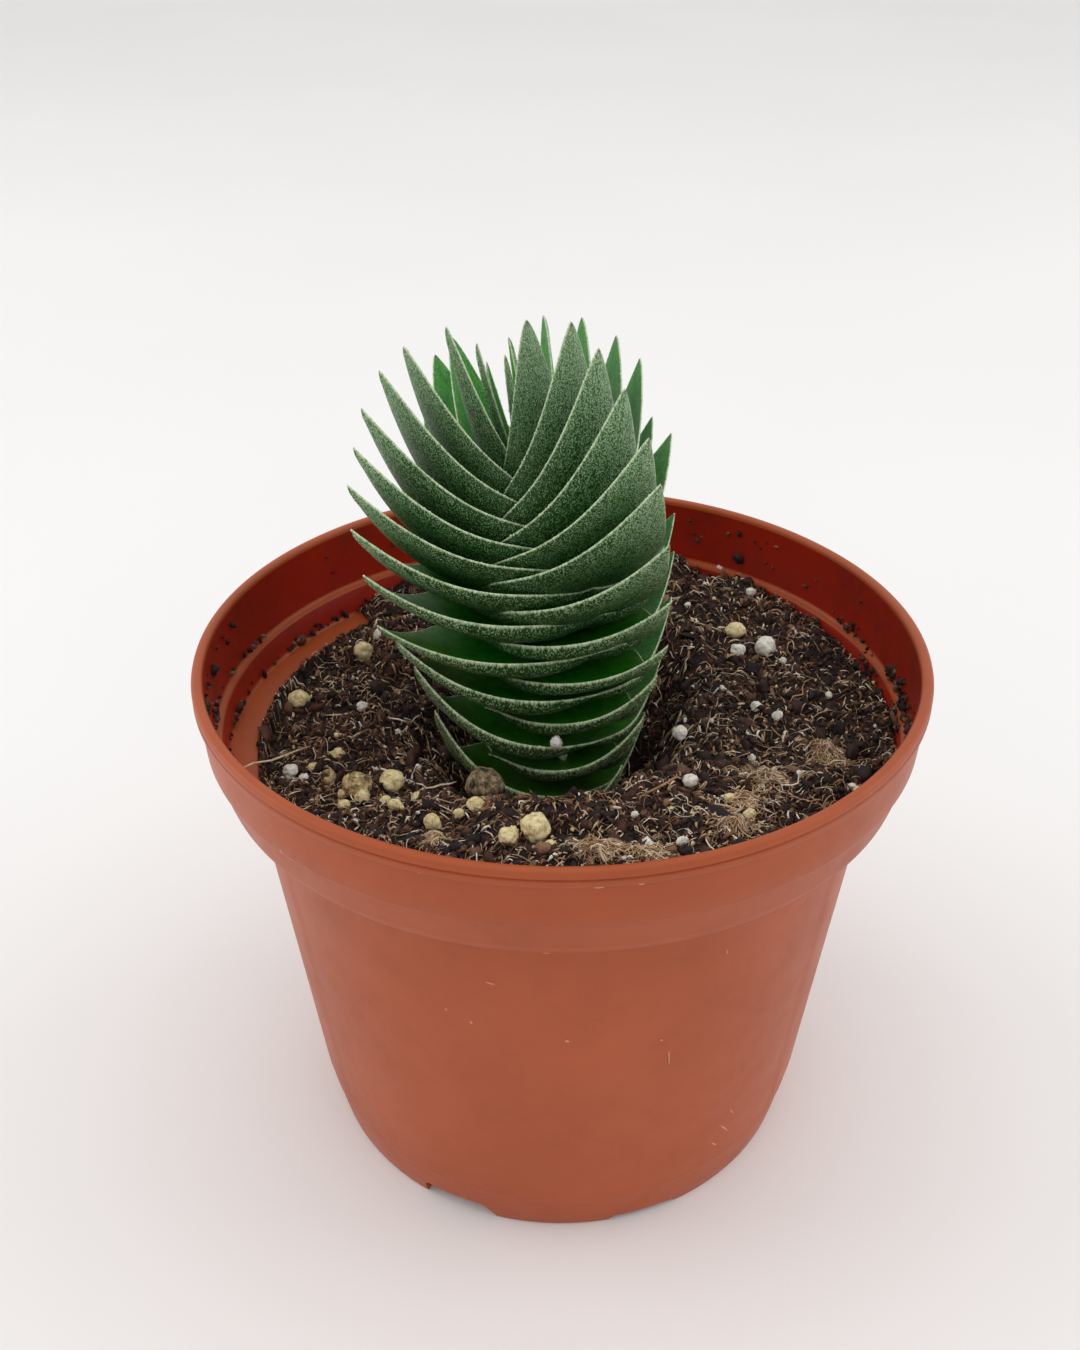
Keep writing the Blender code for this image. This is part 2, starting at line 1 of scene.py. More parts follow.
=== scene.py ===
import math
import random

import bmesh
import bpy
import numpy as np
from mathutils import Matrix, Vector, noise
from mathutils.bvhtree import BVHTree


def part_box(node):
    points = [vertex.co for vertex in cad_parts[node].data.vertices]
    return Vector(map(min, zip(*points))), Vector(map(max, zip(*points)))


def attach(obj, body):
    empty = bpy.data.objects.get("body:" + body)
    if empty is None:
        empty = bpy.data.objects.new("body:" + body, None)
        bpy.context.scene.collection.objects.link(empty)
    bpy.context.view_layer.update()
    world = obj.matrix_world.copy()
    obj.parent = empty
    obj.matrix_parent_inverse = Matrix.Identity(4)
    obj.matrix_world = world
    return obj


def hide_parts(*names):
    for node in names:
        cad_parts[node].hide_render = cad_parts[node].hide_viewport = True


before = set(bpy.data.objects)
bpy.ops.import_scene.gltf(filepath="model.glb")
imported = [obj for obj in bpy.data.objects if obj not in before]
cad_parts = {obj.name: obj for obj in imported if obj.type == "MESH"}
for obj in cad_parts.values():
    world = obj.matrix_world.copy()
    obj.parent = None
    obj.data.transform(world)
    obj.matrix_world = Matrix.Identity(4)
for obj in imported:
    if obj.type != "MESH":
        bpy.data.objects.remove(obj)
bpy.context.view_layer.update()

# Nursery pot: one thin injection moulding in terracotta-coloured polypropylene. A beaded lip with a parting
# line and a wide collar stiffen the rim, two ledges inside the collar let pots stack, and gaps in the foot
# ring let water run out. It stands loose on the table.

MM = 0.001
TURN = 2 * math.pi
BODY = "root"

POT_COLUMNS = 288
# Radius and height in millimetres, from the foot ring's inner corner up the outside to the lip
POT_OUTSIDE = (
    (28.3, 0.3), (28.6, 0.0), (29.9, 0.0), (30.2, 0.15), (30.35, 0.45), (30.8, 2.4), (31.3, 5.3),
    (31.38, 5.75), (31.58, 5.95), (31.62, 6.3), (31.9, 8.5), (33.3, 20.5), (34.7, 32.5), (36.0, 43.5),
    (36.75, 49.9), (36.9, 51.1), (37.0, 51.6), (37.3, 51.95), (38.3, 52.25), (39.3, 52.6), (39.9, 53.05),
    (40.25, 53.5), (40.5, 54.3), (41.18, 57.3), (41.28, 57.55), (41.6, 57.75), (41.72, 58.05), (41.9, 60.5),
    (42.0, 62.9), (42.02, 63.2), (42.2, 63.3), (42.42, 63.42), (42.5, 63.65), (42.5, 64.05), (42.3, 64.2),
    (42.3, 64.28), (42.48, 64.42), (42.5, 64.8), (42.4, 65.1), (42.15, 65.27),
)
# The same from the lip down the inside to the floor's edge
POT_INSIDE = (
    (41.7, 65.3), (41.4, 65.22), (41.22, 65.0), (41.2, 64.6), (41.17, 63.2), (41.0, 61.0), (40.68, 57.3),
    (40.6, 57.0), (40.45, 56.88), (39.95, 56.8), (39.82, 56.6), (39.5, 53.6), (39.42, 53.3), (39.25, 53.15),
    (36.35, 53.05), (36.05, 52.9), (35.92, 52.6), (35.85, 51.6), (34.9, 43.6), (33.6, 32.5), (32.2, 20.5),
    (30.8, 8.5), (30.45, 5.2), (30.2, 4.5), (29.6, 4.15),
)
POT_FLOOR_TOP = 4.1
POT_FLOOR_BOTTOM = 3.0
# Heights in millimetres between which the inside is wall and not ledge
COLLAR_WALL = (57.2, 64.7)
STEP_WALL = (53.5, 56.7)
# The body's wall stands out a little beyond these bearings, on the left and on the right
PANEL_EDGES = (math.radians(-147), math.radians(-33))
PANEL_RELIEF = 0.14 * MM
PANEL_EDGE_WIDTH = math.radians(1.2)
PANEL_HEIGHTS = (6.5 * MM, 51.0 * MM)
PANEL_EDGE_SHARPNESS = 4
PANEL_REACH = 0.9
# The thin wall is slightly three-sided, most of all at the top, at this height in millimetres
POT_WAVE = 0.07 * MM
POT_WAVES = 3
POT_WAVE_PHASE = 0.6
POT_WAVE_HEIGHT = 65
# Uneven flash on the parting line under the lip
LIP_FLASH = 0.06 * MM
LIP_FLASH_FINENESS = 24
LIP_FLASH_RADII = (42.42 * MM, 42.2 * MM)

FOOT_REPEATS = 3
GAP_RADIUS = 29.5 * MM
GAP_DEPTH = 6.0 * MM
GAP_ROUND = 0.35 * MM
GAP_ROUND_STEPS = 3
# Bearing of the gap's middle, width and height of the gap, and how far its right side slopes out
FOOT_GAPS = (
    (math.radians(-115), 8.2 * MM, 2.4 * MM, 1.7 * MM),
    (math.radians(-70), 8.5 * MM, 1.0 * MM, 0.3 * MM),
)
DRAIN_HOLES = 6
DRAIN_HOLE_RADIUS = 2.6 * MM
DRAIN_CIRCLE_RADIUS = 21.0 * MM
DRAIN_HOLE_SIDES = 40
DRAIN_CUTTER_LENGTH = 8 * MM
SMOOTH_ANGLE = math.radians(38)

NICK_DEPTH = 0.09 * MM
# Nicks and drips of flash: bearing in degrees, height, length, width, lean in degrees
POT_NICKS = (
    (-69.5, 31.2, 2.6, 0.16, 4), (-71.5, 34.4, 0.5, 0.2, 60), (-88.6, 36.2, 0.5, 0.3, 75),
    (-101.5, 44.8, 1.1, 0.22, 80), (-110, 39.0, 0.4, 0.2, 0), (-105.5, 37.8, 0.5, 0.25, 30),
    (-92.0, 52.6, 0.9, 0.3, 85), (-97.0, 52.4, 0.5, 0.25, 90), (-52.0, 12.0, 2.8, 0.2, 35),
    (-50.5, 14.5, 1.6, 0.18, 28), (-54.0, 9.6, 1.4, 0.22, 40), (-61.0, 46.0, 0.7, 0.2, 12),
    (-122.5, 63.25, 0.9, 0.45, 88), (-108.5, 63.2, 0.7, 0.4, 90), (-85.0, 63.2, 1.1, 0.45, 90),
    (-79.5, 63.25, 0.7, 0.4, 90), (-133.0, 58.2, 0.8, 0.4, 60), (-131.0, 57.9, 0.5, 0.3, 90),
    (62.0, 30.0, 1.6, 0.2, 20), (100.0, 22.0, 0.8, 0.2, 70), (170.0, 33.0, 2.0, 0.16, 10),
)


def srgb(hex_colour):
    """Linear RGBA of an sRGB hex colour."""
    channels = [int(hex_colour[i : i + 2], 16) / 255 for i in (0, 2, 4)]
    linear = [c / 12.92 if c <= 0.04045 else ((c + 0.055) / 1.055) ** 2.4 for c in channels]
    return (*linear, 1.0)


def new_material(name, **settings):
    """A material and its shader, with the shader's own sockets set."""
    made = bpy.data.materials.new(name)
    made.use_nodes = True
    shader = made.node_tree.nodes["Principled BSDF"]
    for socket, value in settings.items():
        shader.inputs[socket.replace("_", " ")].default_value = value
    return made, shader


def add_node(made, kind, settings, links):
    """A node with its settings, which are properties, unlinked inputs or a ramp's stops, and its links."""
    node = made.node_tree.nodes.new(kind)
    for key, value in settings.items():
        if key == "stops":
            elements = node.color_ramp.elements
            while len(elements) < len(value):
                elements.new(0.5)
            for element, (place, colour) in zip(elements, value):
                element.position = place
                element.color = srgb(colour)
        elif isinstance(key, int) or key in node.inputs:
            node.inputs[key].default_value = value
        else:
            setattr(node, key, value)
    for key, socket in links.items():
        made.node_tree.links.new(socket, node.inputs[key])
    return node


def link(made, socket, shader, name):
    made.node_tree.links.new(socket, shader.inputs[name])


def add_piece(name, points, faces, finishes, slots=None, layers=None):
    """A mesh from arrays of points and faces. slots gives each face's finish, layers a value a point."""
    mesh = bpy.data.meshes.new(name)
    mesh.from_pydata(np.asarray(points).tolist(), [], [list(f) for f in faces])
    for finish in finishes:
        mesh.materials.append(finish)
    if slots is not None:
        mesh.polygons.foreach_set("material_index", np.asarray(slots, dtype=np.int32))
    for layer, values in (layers or {}).items():
        values = np.asarray(values, dtype=np.float32)
        kind, field = ("FLOAT_VECTOR", "vector") if values.ndim > 1 else ("FLOAT", "value")
        mesh.attributes.new(layer, kind, "POINT").data.foreach_set(field, values.ravel())
    mesh.shade_smooth()
    piece = bpy.data.objects.new(name, mesh)
    bpy.context.scene.collection.objects.link(piece)
    return piece


def cut(piece, cutters):
    """One applied Boolean difference, after which the cutters are gone."""
    group = bpy.data.collections.new("cutters")
    bpy.context.scene.collection.children.link(group)
    for cutter in cutters:
        bpy.context.scene.collection.objects.unlink(cutter)
        group.objects.link(cutter)
    joint = piece.modifiers.new("Boolean", "BOOLEAN")
    joint.operation = "DIFFERENCE"
    joint.operand_type = "COLLECTION"
    joint.collection = group
    joint.solver = "EXACT"
    with bpy.context.temp_override(object=piece, active_object=piece):
        bpy.ops.object.modifier_apply(modifier=joint.name)
    for cutter in cutters:
        bpy.data.objects.remove(cutter, do_unlink=True)
    bpy.data.collections.remove(group)


def pot_radius(radius, height, bearing):
    """The outside's radius with its side panels, a slight wave of the thin wall and flash on the lip."""
    wave = POT_WAVE * math.cos(POT_WAVES * bearing + POT_WAVE_PHASE) * height / POT_WAVE_HEIGHT / MM
    if radius in LIP_FLASH_RADII:
        around = Vector((math.cos(bearing), math.sin(bearing), 0))
        wave += LIP_FLASH * noise.noise(around * LIP_FLASH_FINENESS)
    if PANEL_HEIGHTS[0] < height < PANEL_HEIGHTS[1]:
        for edge, side in zip(PANEL_EDGES, (-1, 1)):
            past = math.remainder(bearing - edge, TURN) * side
            rise = 1 / (1 + math.exp(-past / PANEL_EDGE_WIDTH * PANEL_EDGE_SHARPNESS))
            if abs(past) < PANEL_REACH:
                wave += PANEL_RELIEF * rise
    return radius + wave


def cutter(shape, finish):
    """A piece from a bmesh, which is freed."""
    faces = [[v.index for v in face.verts] for face in shape.faces]
    piece = add_piece("cutter", [v.co for v in shape.verts], faces, [finish])
    shape.free()
    return piece


def build_pot(plastic, plastic_painted_shade, scuffed):
    """The wall, lip, ledges, floor and foot ring as one turned shape, less its gaps and drain holes."""
    floor = [(0.0, POT_FLOOR_TOP), (0.0, POT_FLOOR_BOTTOM), (POT_OUTSIDE[0][0], POT_FLOOR_BOTTOM)]
    profile = [*POT_OUTSIDE, *POT_INSIDE, *floor]
    points, rows = [], []
    for place, (radius, height) in enumerate(profile):
        if radius == 0:
            rows.append([len(points)] * POT_COLUMNS)
            points.append((0, 0, height * MM))
            continue
        rows.append([len(points) + i for i in range(POT_COLUMNS)])
        for i in range(POT_COLUMNS):
            bearing = TURN * i / POT_COLUMNS
            reach = radius * MM
            if place < len(POT_OUTSIDE):
                reach = pot_radius(reach, height * MM, bearing)
            points.append((reach * math.cos(bearing), reach * math.sin(bearing), height * MM))
    faces, slots = [], []
    for ring, (lower, upper) in enumerate(zip(rows, rows[1:] + rows[:1])):
        middle = (profile[ring][1] + profile[(ring + 1) % len(profile)][1]) / 2
        inside = len(POT_OUTSIDE) <= ring < len(POT_OUTSIDE) + len(POT_INSIDE)
        wall = any(low < middle < high for low, high in (COLLAR_WALL, STEP_WALL))
        for i in range(POT_COLUMNS):
            k = (i + 1) % POT_COLUMNS
            corners = [lower[i], lower[k], upper[k], upper[i]]
            corners = [c for n, c in enumerate(corners) if c not in corners[:n]]
            if len(corners) > 2:
                faces.append(corners)
                # Inside faces of the collar and step walls take the deeper red copy, which is painted shade;
                # the ledges keep the outside finish
                slots.append(int(inside and wall))
    pot = add_piece("nursery_pot", points, faces, [plastic, plastic_painted_shade, scuffed], slots)
    cutters = []
    for repeat in range(FOOT_REPEATS):
        for bearing, width, height, slope in FOOT_GAPS:
            shape = bmesh.new()
            bmesh.ops.create_cube(shape, size=1.0)
            for corner in shape.verts:
                sideways = width * corner.co.y
                if corner.co.z < 0 < corner.co.y:
                    sideways += slope * 2
                corner.co = Vector((GAP_DEPTH * corner.co.x, sideways, 2 * height * corner.co.z))
            bmesh.ops.bevel(
                shape, geom=shape.edges[:], offset=GAP_ROUND, segments=GAP_ROUND_STEPS, affect="EDGES"
            )
            turn = Matrix.Rotation(bearing + TURN * repeat / FOOT_REPEATS, 4, "Z")
            shape.transform(turn @ Matrix.Translation((GAP_RADIUS, 0, 0)))
            cutters.append(cutter(shape, plastic))
    for hole in range(DRAIN_HOLES):
        bearing = TURN * (hole + 0.5) / DRAIN_HOLES
        shape = bmesh.new()
        bmesh.ops.create_cone(
            shape, cap_ends=True, segments=DRAIN_HOLE_SIDES, depth=DRAIN_CUTTER_LENGTH,
            radius1=DRAIN_HOLE_RADIUS, radius2=DRAIN_HOLE_RADIUS,
        )
        place = (DRAIN_CIRCLE_RADIUS * math.cos(bearing), DRAIN_CIRCLE_RADIUS * math.sin(bearing), 0)
        shape.transform(Matrix.Translation(place))
        cutters.append(cutter(shape, plastic))
    cut(pot, cutters)
    add_nicks(pot)
    pot.data.set_sharp_from_angle(angle=SMOOTH_ANGLE)
    return pot


def add_nicks(pot):
    """Small raised slivers along the wall: scuffs, and flash under the lip."""
    radii = [r for r, z in POT_OUTSIDE]
    heights = [z for r, z in POT_OUTSIDE]
    shape = bmesh.new()
    shape.from_mesh(pot.data)
    for bearing, height, length, width, lean in POT_NICKS:
        reach = float(np.interp(height, heights, radii)) * MM
        bearing = math.radians(bearing)
        centre = Vector((reach * math.cos(bearing), reach * math.sin(bearing), height * MM))
        turn = Matrix.Rotation(bearing, 4, "Z") @ Matrix.Rotation(math.radians(lean), 4, "X")
        size = Matrix.Diagonal((NICK_DEPTH, width * MM / 2, length * MM / 2, 1))
        made = bmesh.ops.create_icosphere(
            shape, subdivisions=2, radius=1, matrix=Matrix.Translation(centre) @ turn @ size
        )
        for vertex in made["verts"]:
            for face in vertex.link_faces:
                face.material_index = 2
                face.smooth = True
    shape.to_mesh(pot.data)
    shape.free()


# Moulded polypropylene: a satin, slightly waxy face. Slow mottling keeps it from looking painted.
def polypropylene(name, light, dark, soiled, soil_share, roughness):
    made, shader = new_material(name, IOR=1.49, Specular_IOR_Level=0.38)
    place = add_node(made, "ShaderNodeTexCoord", {}, {}).outputs["Object"]
    mottle = add_node(
        made, "ShaderNodeTexNoise",
        {"Scale": 1 / (22 * MM), "Detail": 4.0, "Roughness": 0.6}, {"Vector": place},
    )
    blend = add_node(
        made, "ShaderNodeValToRGB", {"stops": ((0.3, dark), (0.7, light))}, {"Fac": mottle.outputs["Fac"]}
    )
    # Dried soil dust, thickest in patches of about 6 mm
    dust = add_node(
        made, "ShaderNodeTexNoise",
        {"Scale": 1 / (6 * MM), "Detail": 8.0, "Roughness": 0.75}, {"Vector": place},
    )
    dusty = add_node(
        made, "ShaderNodeMapRange",
        {"From Min": 0.5, "From Max": 0.8, "To Min": 0.0, "To Max": soil_share},
        {"Value": dust.outputs["Fac"]},
    )
    stained = add_node(
        made, "ShaderNodeMix", {"data_type": "RGBA", 7: srgb(soiled)},
        {0: dusty.outputs["Result"], 6: blend.outputs["Color"]},
    )
    link(made, stained.outputs[2], shader, "Base Color")
    satin = add_node(
        made, "ShaderNodeMapRange",
        {"From Min": 0.3, "From Max": 0.7, "To Min": roughness - 0.05, "To Max": roughness + 0.07},
        {"Value": dust.outputs["Fac"]},
    )
    link(made, satin.outputs["Result"], shader, "Roughness")
    # The mould's fine spark-eroded grain is about 0.1 mm; it is drawn at 0.5 mm so that it shows
    grain = add_node(
        made, "ShaderNodeTexNoise", {"Scale": 1 / (0.5 * MM), "Detail": 2.0}, {"Vector": place}
    )
    fine = add_node(
        made, "ShaderNodeBump", {"Strength": 0.06, "Distance": 0.05 * MM}, {"Height": grain.outputs["Fac"]}
    )
    wavy = add_node(
        made, "ShaderNodeBump", {"Strength": 0.25, "Distance": 0.25 * MM},
        {"Height": mottle.outputs["Fac"], "Normal": fine.outputs["Normal"]},
    )
    link(made, wavy.outputs["Normal"], shader, "Normal")
    return made


terracotta = polypropylene("moulded_polypropylene", "AE5024", "A0471C", "7A4028", 0.25, 0.42)
# A deeper, darker red copy for the inside walls of the collar and the step: painted shade inside the pot,
# with more soil dust
terracotta_painted_shade = polypropylene("moulded_polypropylene_inside_painted_shade", "A62208", "8C1906", "3A1C10", 0.7, 0.38)
# Stretched or scraped polypropylene turns paler, because fine cracks scatter the light
terracotta_scuffed = polypropylene("scraped_polypropylene", "D59A80", "C07F63", "A86A50", 0.3, 0.6)

nursery_pot = build_pot(terracotta, terracotta_painted_shade, terracotta_scuffed)
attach(nursery_pot, BODY)
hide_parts("pot")

# Potting mix: damp black peat with brown fibres, filled in loose and firmed by hand. It lies highest behind
# and in front, low on the left where the pot's shelf shows, and in a hollow round the plant.

GRID_PITCH = 0.4 * MM
GRID_HALF = 40.0 * MM
RAY_START = 80 * MM
STEM_HOLE_DEPTH = 40.0 * MM
GRID_FILL_PASSES = 24
GRID_BLUR_PASSES = 3
# Places past the grid are read just inside its last cell
GRID_END = 1.001
MIX_LUMPS = ((4.5 * MM, 0.95 * MM), (1.7 * MM, 0.6 * MM), (0.7 * MM, 0.28 * MM))
MIX_COLUMNS = 420
MIX_RINGS = 70
MIX_RING_CROWDING = 0.85
MIX_WALL_GAP = 0.12 * MM
# Heights in millimetres of the mix's side, down to just over the pot's floor
MIX_SIDE_HEIGHTS = (52.0, 32.5, 6.0, POT_FLOOR_TOP + 0.4)
MIX_SIDE_DROP = 0.2 * MM
MIX_EDGE_START = 3 * MM
MIX_EDGE_PASSES = 3
SHELF_RADIUS = 36.0 * MM
SHELF_HEIGHT = 53.05 * MM
SHELF_COVER = 0.5 * MM
SHELF_LAYER = 0.15 * MM
SHELF_SPREAD = 0.3 * MM


def smoothed(heights):
    """Each height as the mean of the nine round it."""
    padded = np.pad(heights, 1, mode="edge")
    total = sum(
        padded[i : i + heights.shape[0], k : k + heights.shape[1]] for i in range(3) for k in range(3)
    )
    return total / 9


def mix_grid():
    """Heights of the mix's top on a square grid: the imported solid's own top, smoothed, with lumps."""
    depsgraph = bpy.context.evaluated_depsgraph_get()
    bed = BVHTree.FromObject(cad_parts["potting_mix"], depsgraph)
    count = round(2 * GRID_HALF / GRID_PITCH) + 1
    axis = np.linspace(-GRID_HALF, GRID_HALF, count)
    heights = np.full((count, count), np.nan)
    for i, x in enumerate(axis):
        for k, y in enumerate(axis):
            hit = bed.ray_cast(Vector((x, y, RAY_START)), Vector((0, 0, -1)))[0]
            if hit is not None and hit.z > STEM_HOLE_DEPTH:
                heights[i, k] = hit.z
    for _ in range(GRID_FILL_PASSES):
        missing = np.isnan(heights)
        padded = np.pad(heights, 1, constant_values=np.nan)
        around = np.stack([padded[:-2, 1:-1], padded[2:, 1:-1], padded[1:-1, :-2], padded[1:-1, 2:]])
        known = ~np.isnan(around)
        total = np.where(known, around, 0).sum(0) / np.maximum(known.sum(0), 1)
        heights = np.where(missing & known.any(0), total, heights)
    heights = np.where(np.isnan(heights), np.nanmean(heights), heights)
    for _ in range(GRID_BLUR_PASSES):
        heights = smoothed(heights)
    for i, x in enumerate(axis):
        for k, y in enumerate(axis):
            for size, swing in MIX_LUMPS:
                heights[i, k] += swing * noise.noise(Vector((x, y, size)) / size)
    return heights


mix_heights = mix_grid()


def mix_top(x, y):
    """The mix's height at arrays of places, read between the grid's points."""
    u = np.clip((np.asarray(x) + GRID_HALF) / GRID_PITCH, 0, mix_heights.shape[0] - GRID_END)
    v = np.clip((np.asarray(y) + GRID_HALF) / GRID_PITCH, 0, mix_heights.shape[1] - GRID_END)
    i, k = u.astype(int), v.astype(int)
    s, t = u - i, v - k
    low = mix_heights[i, k] * (1 - t) + mix_heights[i, k + 1] * t
    high = mix_heights[i + 1, k] * (1 - t) + mix_heights[i + 1, k + 1] * t
    top = low * (1 - s) + high * s
    at_shelf = np.hypot(x, y) > SHELF_RADIUS - SHELF_COVER
    return np.where(at_shelf, np.maximum(top, SHELF_HEIGHT + SHELF_LAYER), top)


def wall_radius(height):
    """The pot's inner radius at a height."""
    heights = [z * MM for r, z in POT_INSIDE[::-1]]
    radii = [r * MM for r, z in POT_INSIDE[::-1]]
    return np.interp(height, heights, radii)


def mix_edge(bearing):
    """How far the mix's top reaches: to the wall, or to the shelf's inner edge where it lies too low."""
    x, y = np.cos(bearing), np.sin(bearing)
    inside = SHELF_RADIUS - 2 * SHELF_COVER
    on_shelf = mix_top(x * inside, y * inside) > SHELF_HEIGHT + SHELF_COVER
    reach = np.full(np.shape(bearing), SHELF_RADIUS + MIX_EDGE_START)
    for _ in range(MIX_EDGE_PASSES):
        reach = wall_radius(mix_top(x * reach, y * reach))
    return np.where(on_shelf, reach, SHELF_RADIUS + SHELF_SPREAD) - MIX_WALL_GAP


def build_mix(peat):
    """The whole fill: its uneven top in rings from the middle, its side and its flat bottom."""
    bearings = np.arange(MIX_COLUMNS) * TURN / MIX_COLUMNS
    edges = mix_edge(bearings)
    points = [(0.0, 0.0, float(mix_top(0.0, 0.0)))]
    for ring in range(1, MIX_RINGS + 1):
        reach = edges * (ring / MIX_RINGS) ** MIX_RING_CROWDING
        x, y = reach * np.cos(bearings), reach * np.sin(bearings)
        points += np.column_stack([x, y, mix_top(x, y)]).tolist()
    edge_top = mix_top(edges * np.cos(bearings), edges * np.sin(bearings))
    for height in MIX_SIDE_HEIGHTS:
        reach = np.full(MIX_COLUMNS, float(wall_radius(height * MM)) - MIX_WALL_GAP)
        low = np.minimum(height * MM, edge_top - MIX_SIDE_DROP)
        points += np.column_stack([reach * np.cos(bearings), reach * np.sin(bearings), low]).tolist()
    points.append((0.0, 0.0, MIX_SIDE_HEIGHTS[-1] * MM))
    last = len(points) - 1
    faces = []
    for i in range(MIX_COLUMNS):
        k = (i + 1) % MIX_COLUMNS
        faces.append((0, 1 + i, 1 + k))
        for ring in range(MIX_RINGS + len(MIX_SIDE_HEIGHTS) - 1):
            inner, outer = 1 + ring * MIX_COLUMNS, 1 + (ring + 1) * MIX_COLUMNS
            faces.append((inner + i, outer + i, outer + k, inner + k))
        faces.append((last, last - MIX_COLUMNS + k, last - MIX_COLUMNS + i))
    return add_piece("potting_mix_body", points, faces, [peat])


# Black sphagnum peat: matt and nearly black when damp, with brown where it has begun to dry
peat, peat_shader = new_material("damp_black_peat", IOR=1.45, Roughness=0.85)
peat_place = add_node(peat, "ShaderNodeTexCoord", {}, {}).outputs["Object"]
peat_patches = add_node(
    peat, "ShaderNodeTexNoise",
    {"Scale": 1 / (1.6 * MM), "Detail": 9.0, "Roughness": 0.75}, {"Vector": peat_place},
)
peat_colour = add_node(
    peat, "ShaderNodeValToRGB",
    {"stops": ((0.35, "050202"), (0.5, "1C0C06"), (0.6, "4A2818"), (0.72, "8A5E42"))},
    {"Fac": peat_patches.outputs["Fac"]},
)
link(peat, peat_colour.outputs["Color"], peat_shader, "Base Color")
peat_crumbs = add_node(
    peat, "ShaderNodeTexNoise",
    {"Scale": 1 / (0.45 * MM), "Detail": 5.0, "Roughness": 0.7}, {"Vector": peat_place},
)
peat_bump = add_node(
    peat, "ShaderNodeBump", {"Strength": 0.9, "Distance": 0.35 * MM}, {"Height": peat_crumbs.outputs["Fac"]}
)
link(peat, peat_bump.outputs["Normal"], peat_shader, "Normal")

potting_mix_body = build_mix(peat)
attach(potting_mix_body, BODY)
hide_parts("potting_mix")

# Crumbs and fibres: the loose top of the same mix. Torn peat crumbs, half-rotted moss and sedge fibres and
# a few fine roots and straws lie on each other, and some of them cling to the pot's wall and ledges.

CRUMB_SEED = 11
CRUMBS = 7000
# Middle size of a log-normal spread, and the spread
CRUMB_SIZES = (0.24 * MM, 0.36)
BIG_CRUMBS = 1100
BIG_CRUMB_SIZES = (0.42 * MM, 0.3)
# Tones from dark to light: the two shape numbers of a beta spread, and its lightest tone
CRUMB_TONES = (1.6, 2.6, 0.8)
BIG_CRUMB_TONES = (1.6, 3.2, 0.7)
FIBRE_TONES = (1.7, 2.2, 1.0)
SHRED_TONES = (1.5, 2.6, 1.0)
# How far crumbs lie over the mix, and how deep they press on the wall, as shares of their radius
CRUMB_LIFT = 0.3
BIG_CRUMB_LIFT = 0.1
CLINGING_SINK = 0.4
FIBRES = 4600
FIBRE_LENGTHS = (1.7 * MM, 0.5)
FIBRE_THICKNESS = (0.06 * MM, 0.3)
FIBRE_WANDER = 0.16
SHREDS = 5400
SHRED_LENGTHS = (0.95 * MM, 0.35)
SHRED_THICKNESS = (0.12 * MM, 0.3)
SHRED_TILT = 0.5
FIBRE_JOINTS = 6
SHRED_JOINTS = 4
STRAND_END = 0.25
STRAND_TAPER = 0.5
LYING_HEIGHT = 0.08 * MM
# Too small to matter, but it keeps a division from failing
TINY = 1e-12
# Where crumbs cling: bearing in degrees, height in mm, spread in degrees and mm, count
CLINGING = (
    (187, 57.3, 7, 0.8, 30), (178, 53.6, 12, 0.5, 32), (165, 57.2, 9, 0.5, 16), (150, 53.5, 10, 0.5, 30),
    (130, 53.5, 12, 0.5, 26), (4, 57.2, 4, 1.0, 40), (-4, 55.6, 5, 1.6, 60), (14, 54.6, 6, 1.2, 40),
    (24, 57.1, 8, 0.6, 18), (80, 59.0, 60, 2.8, 60), (190, 61.0, 22, 1.8, 24), (-12, 57.4, 5, 1.2, 46),
)
# Crumbs cling no higher than the lip's foot
CLINGING_TOP = 62.8
# Fibrous golden-brown clumps: bearing in degrees, distance, width and height in mm, fibres
CLUMPS = (
    (278, 28.5, 4.2, 1.5, 330), (288, 30.5, 3.4, 1.2, 220), (309, 30.0, 4.4, 1.4, 330),
    (318, 27.0, 3.2, 1.1, 170), (240, 27.0, 3.0, 0.9, 150), (330, 26.5, 4.4, 1.2, 230),
    (345, 31.5, 4.0, 1.4, 210),
)
CLUMP_LENGTHS = (1.7 * MM, 0.35)
CLUMP_THICKNESS = (0.065 * MM, 0.3)
CLUMP_CROWDING = 1.6
CLUMP_SWELLS = (0.4, 1.0)
CLUMP_TONES = (0.35, 0.72)

grain_dice = np.random.default_rng(CRUMB_SEED)


def scattered(count):
    """Random places over the mix's top."""
    bearings = grain_dice.uniform(0, TURN, count)
    reach = mix_edge(bearings) * np.sqrt(grain_dice.uniform(0, 1, count))
    x, y = reach * np.cos(bearings), reach * np.sin(bearings)
    return np.column_stack([x, y, mix_top(x, y)])


def random_turns(count):
    """Random rotations, as one matrix a row."""
    q = grain_dice.normal(size=(count, 4))
    w, x, y, z = (q / np.linalg.norm(q, axis=1, keepdims=True)).T
    rows = [
        [1 - 2 * (y * y + z * z), 2 * (x * y - z * w), 2 * (x * z + y * w)],
        [2 * (x * y + z * w), 1 - 2 * (x * x + z * z), 2 * (y * z - x * w)],
        [2 * (x * z - y * w), 2 * (y * z + x * w), 1 - 2 * (x * x + y * y)],
    ]
    return np.moveaxis(np.array(rows), 2, 0)


def ball(subdivisions):
    """Points and faces of a small round grain of radius 1."""
    shape = bmesh.new()
    bmesh.ops.create_icosphere(shape, subdivisions=subdivisions, radius=1.0)
    points = np.array([v.co for v in shape.verts])
    faces = np.array([[v.index for v in face.verts] for face in shape.faces])
    shape.free()
    return points, faces


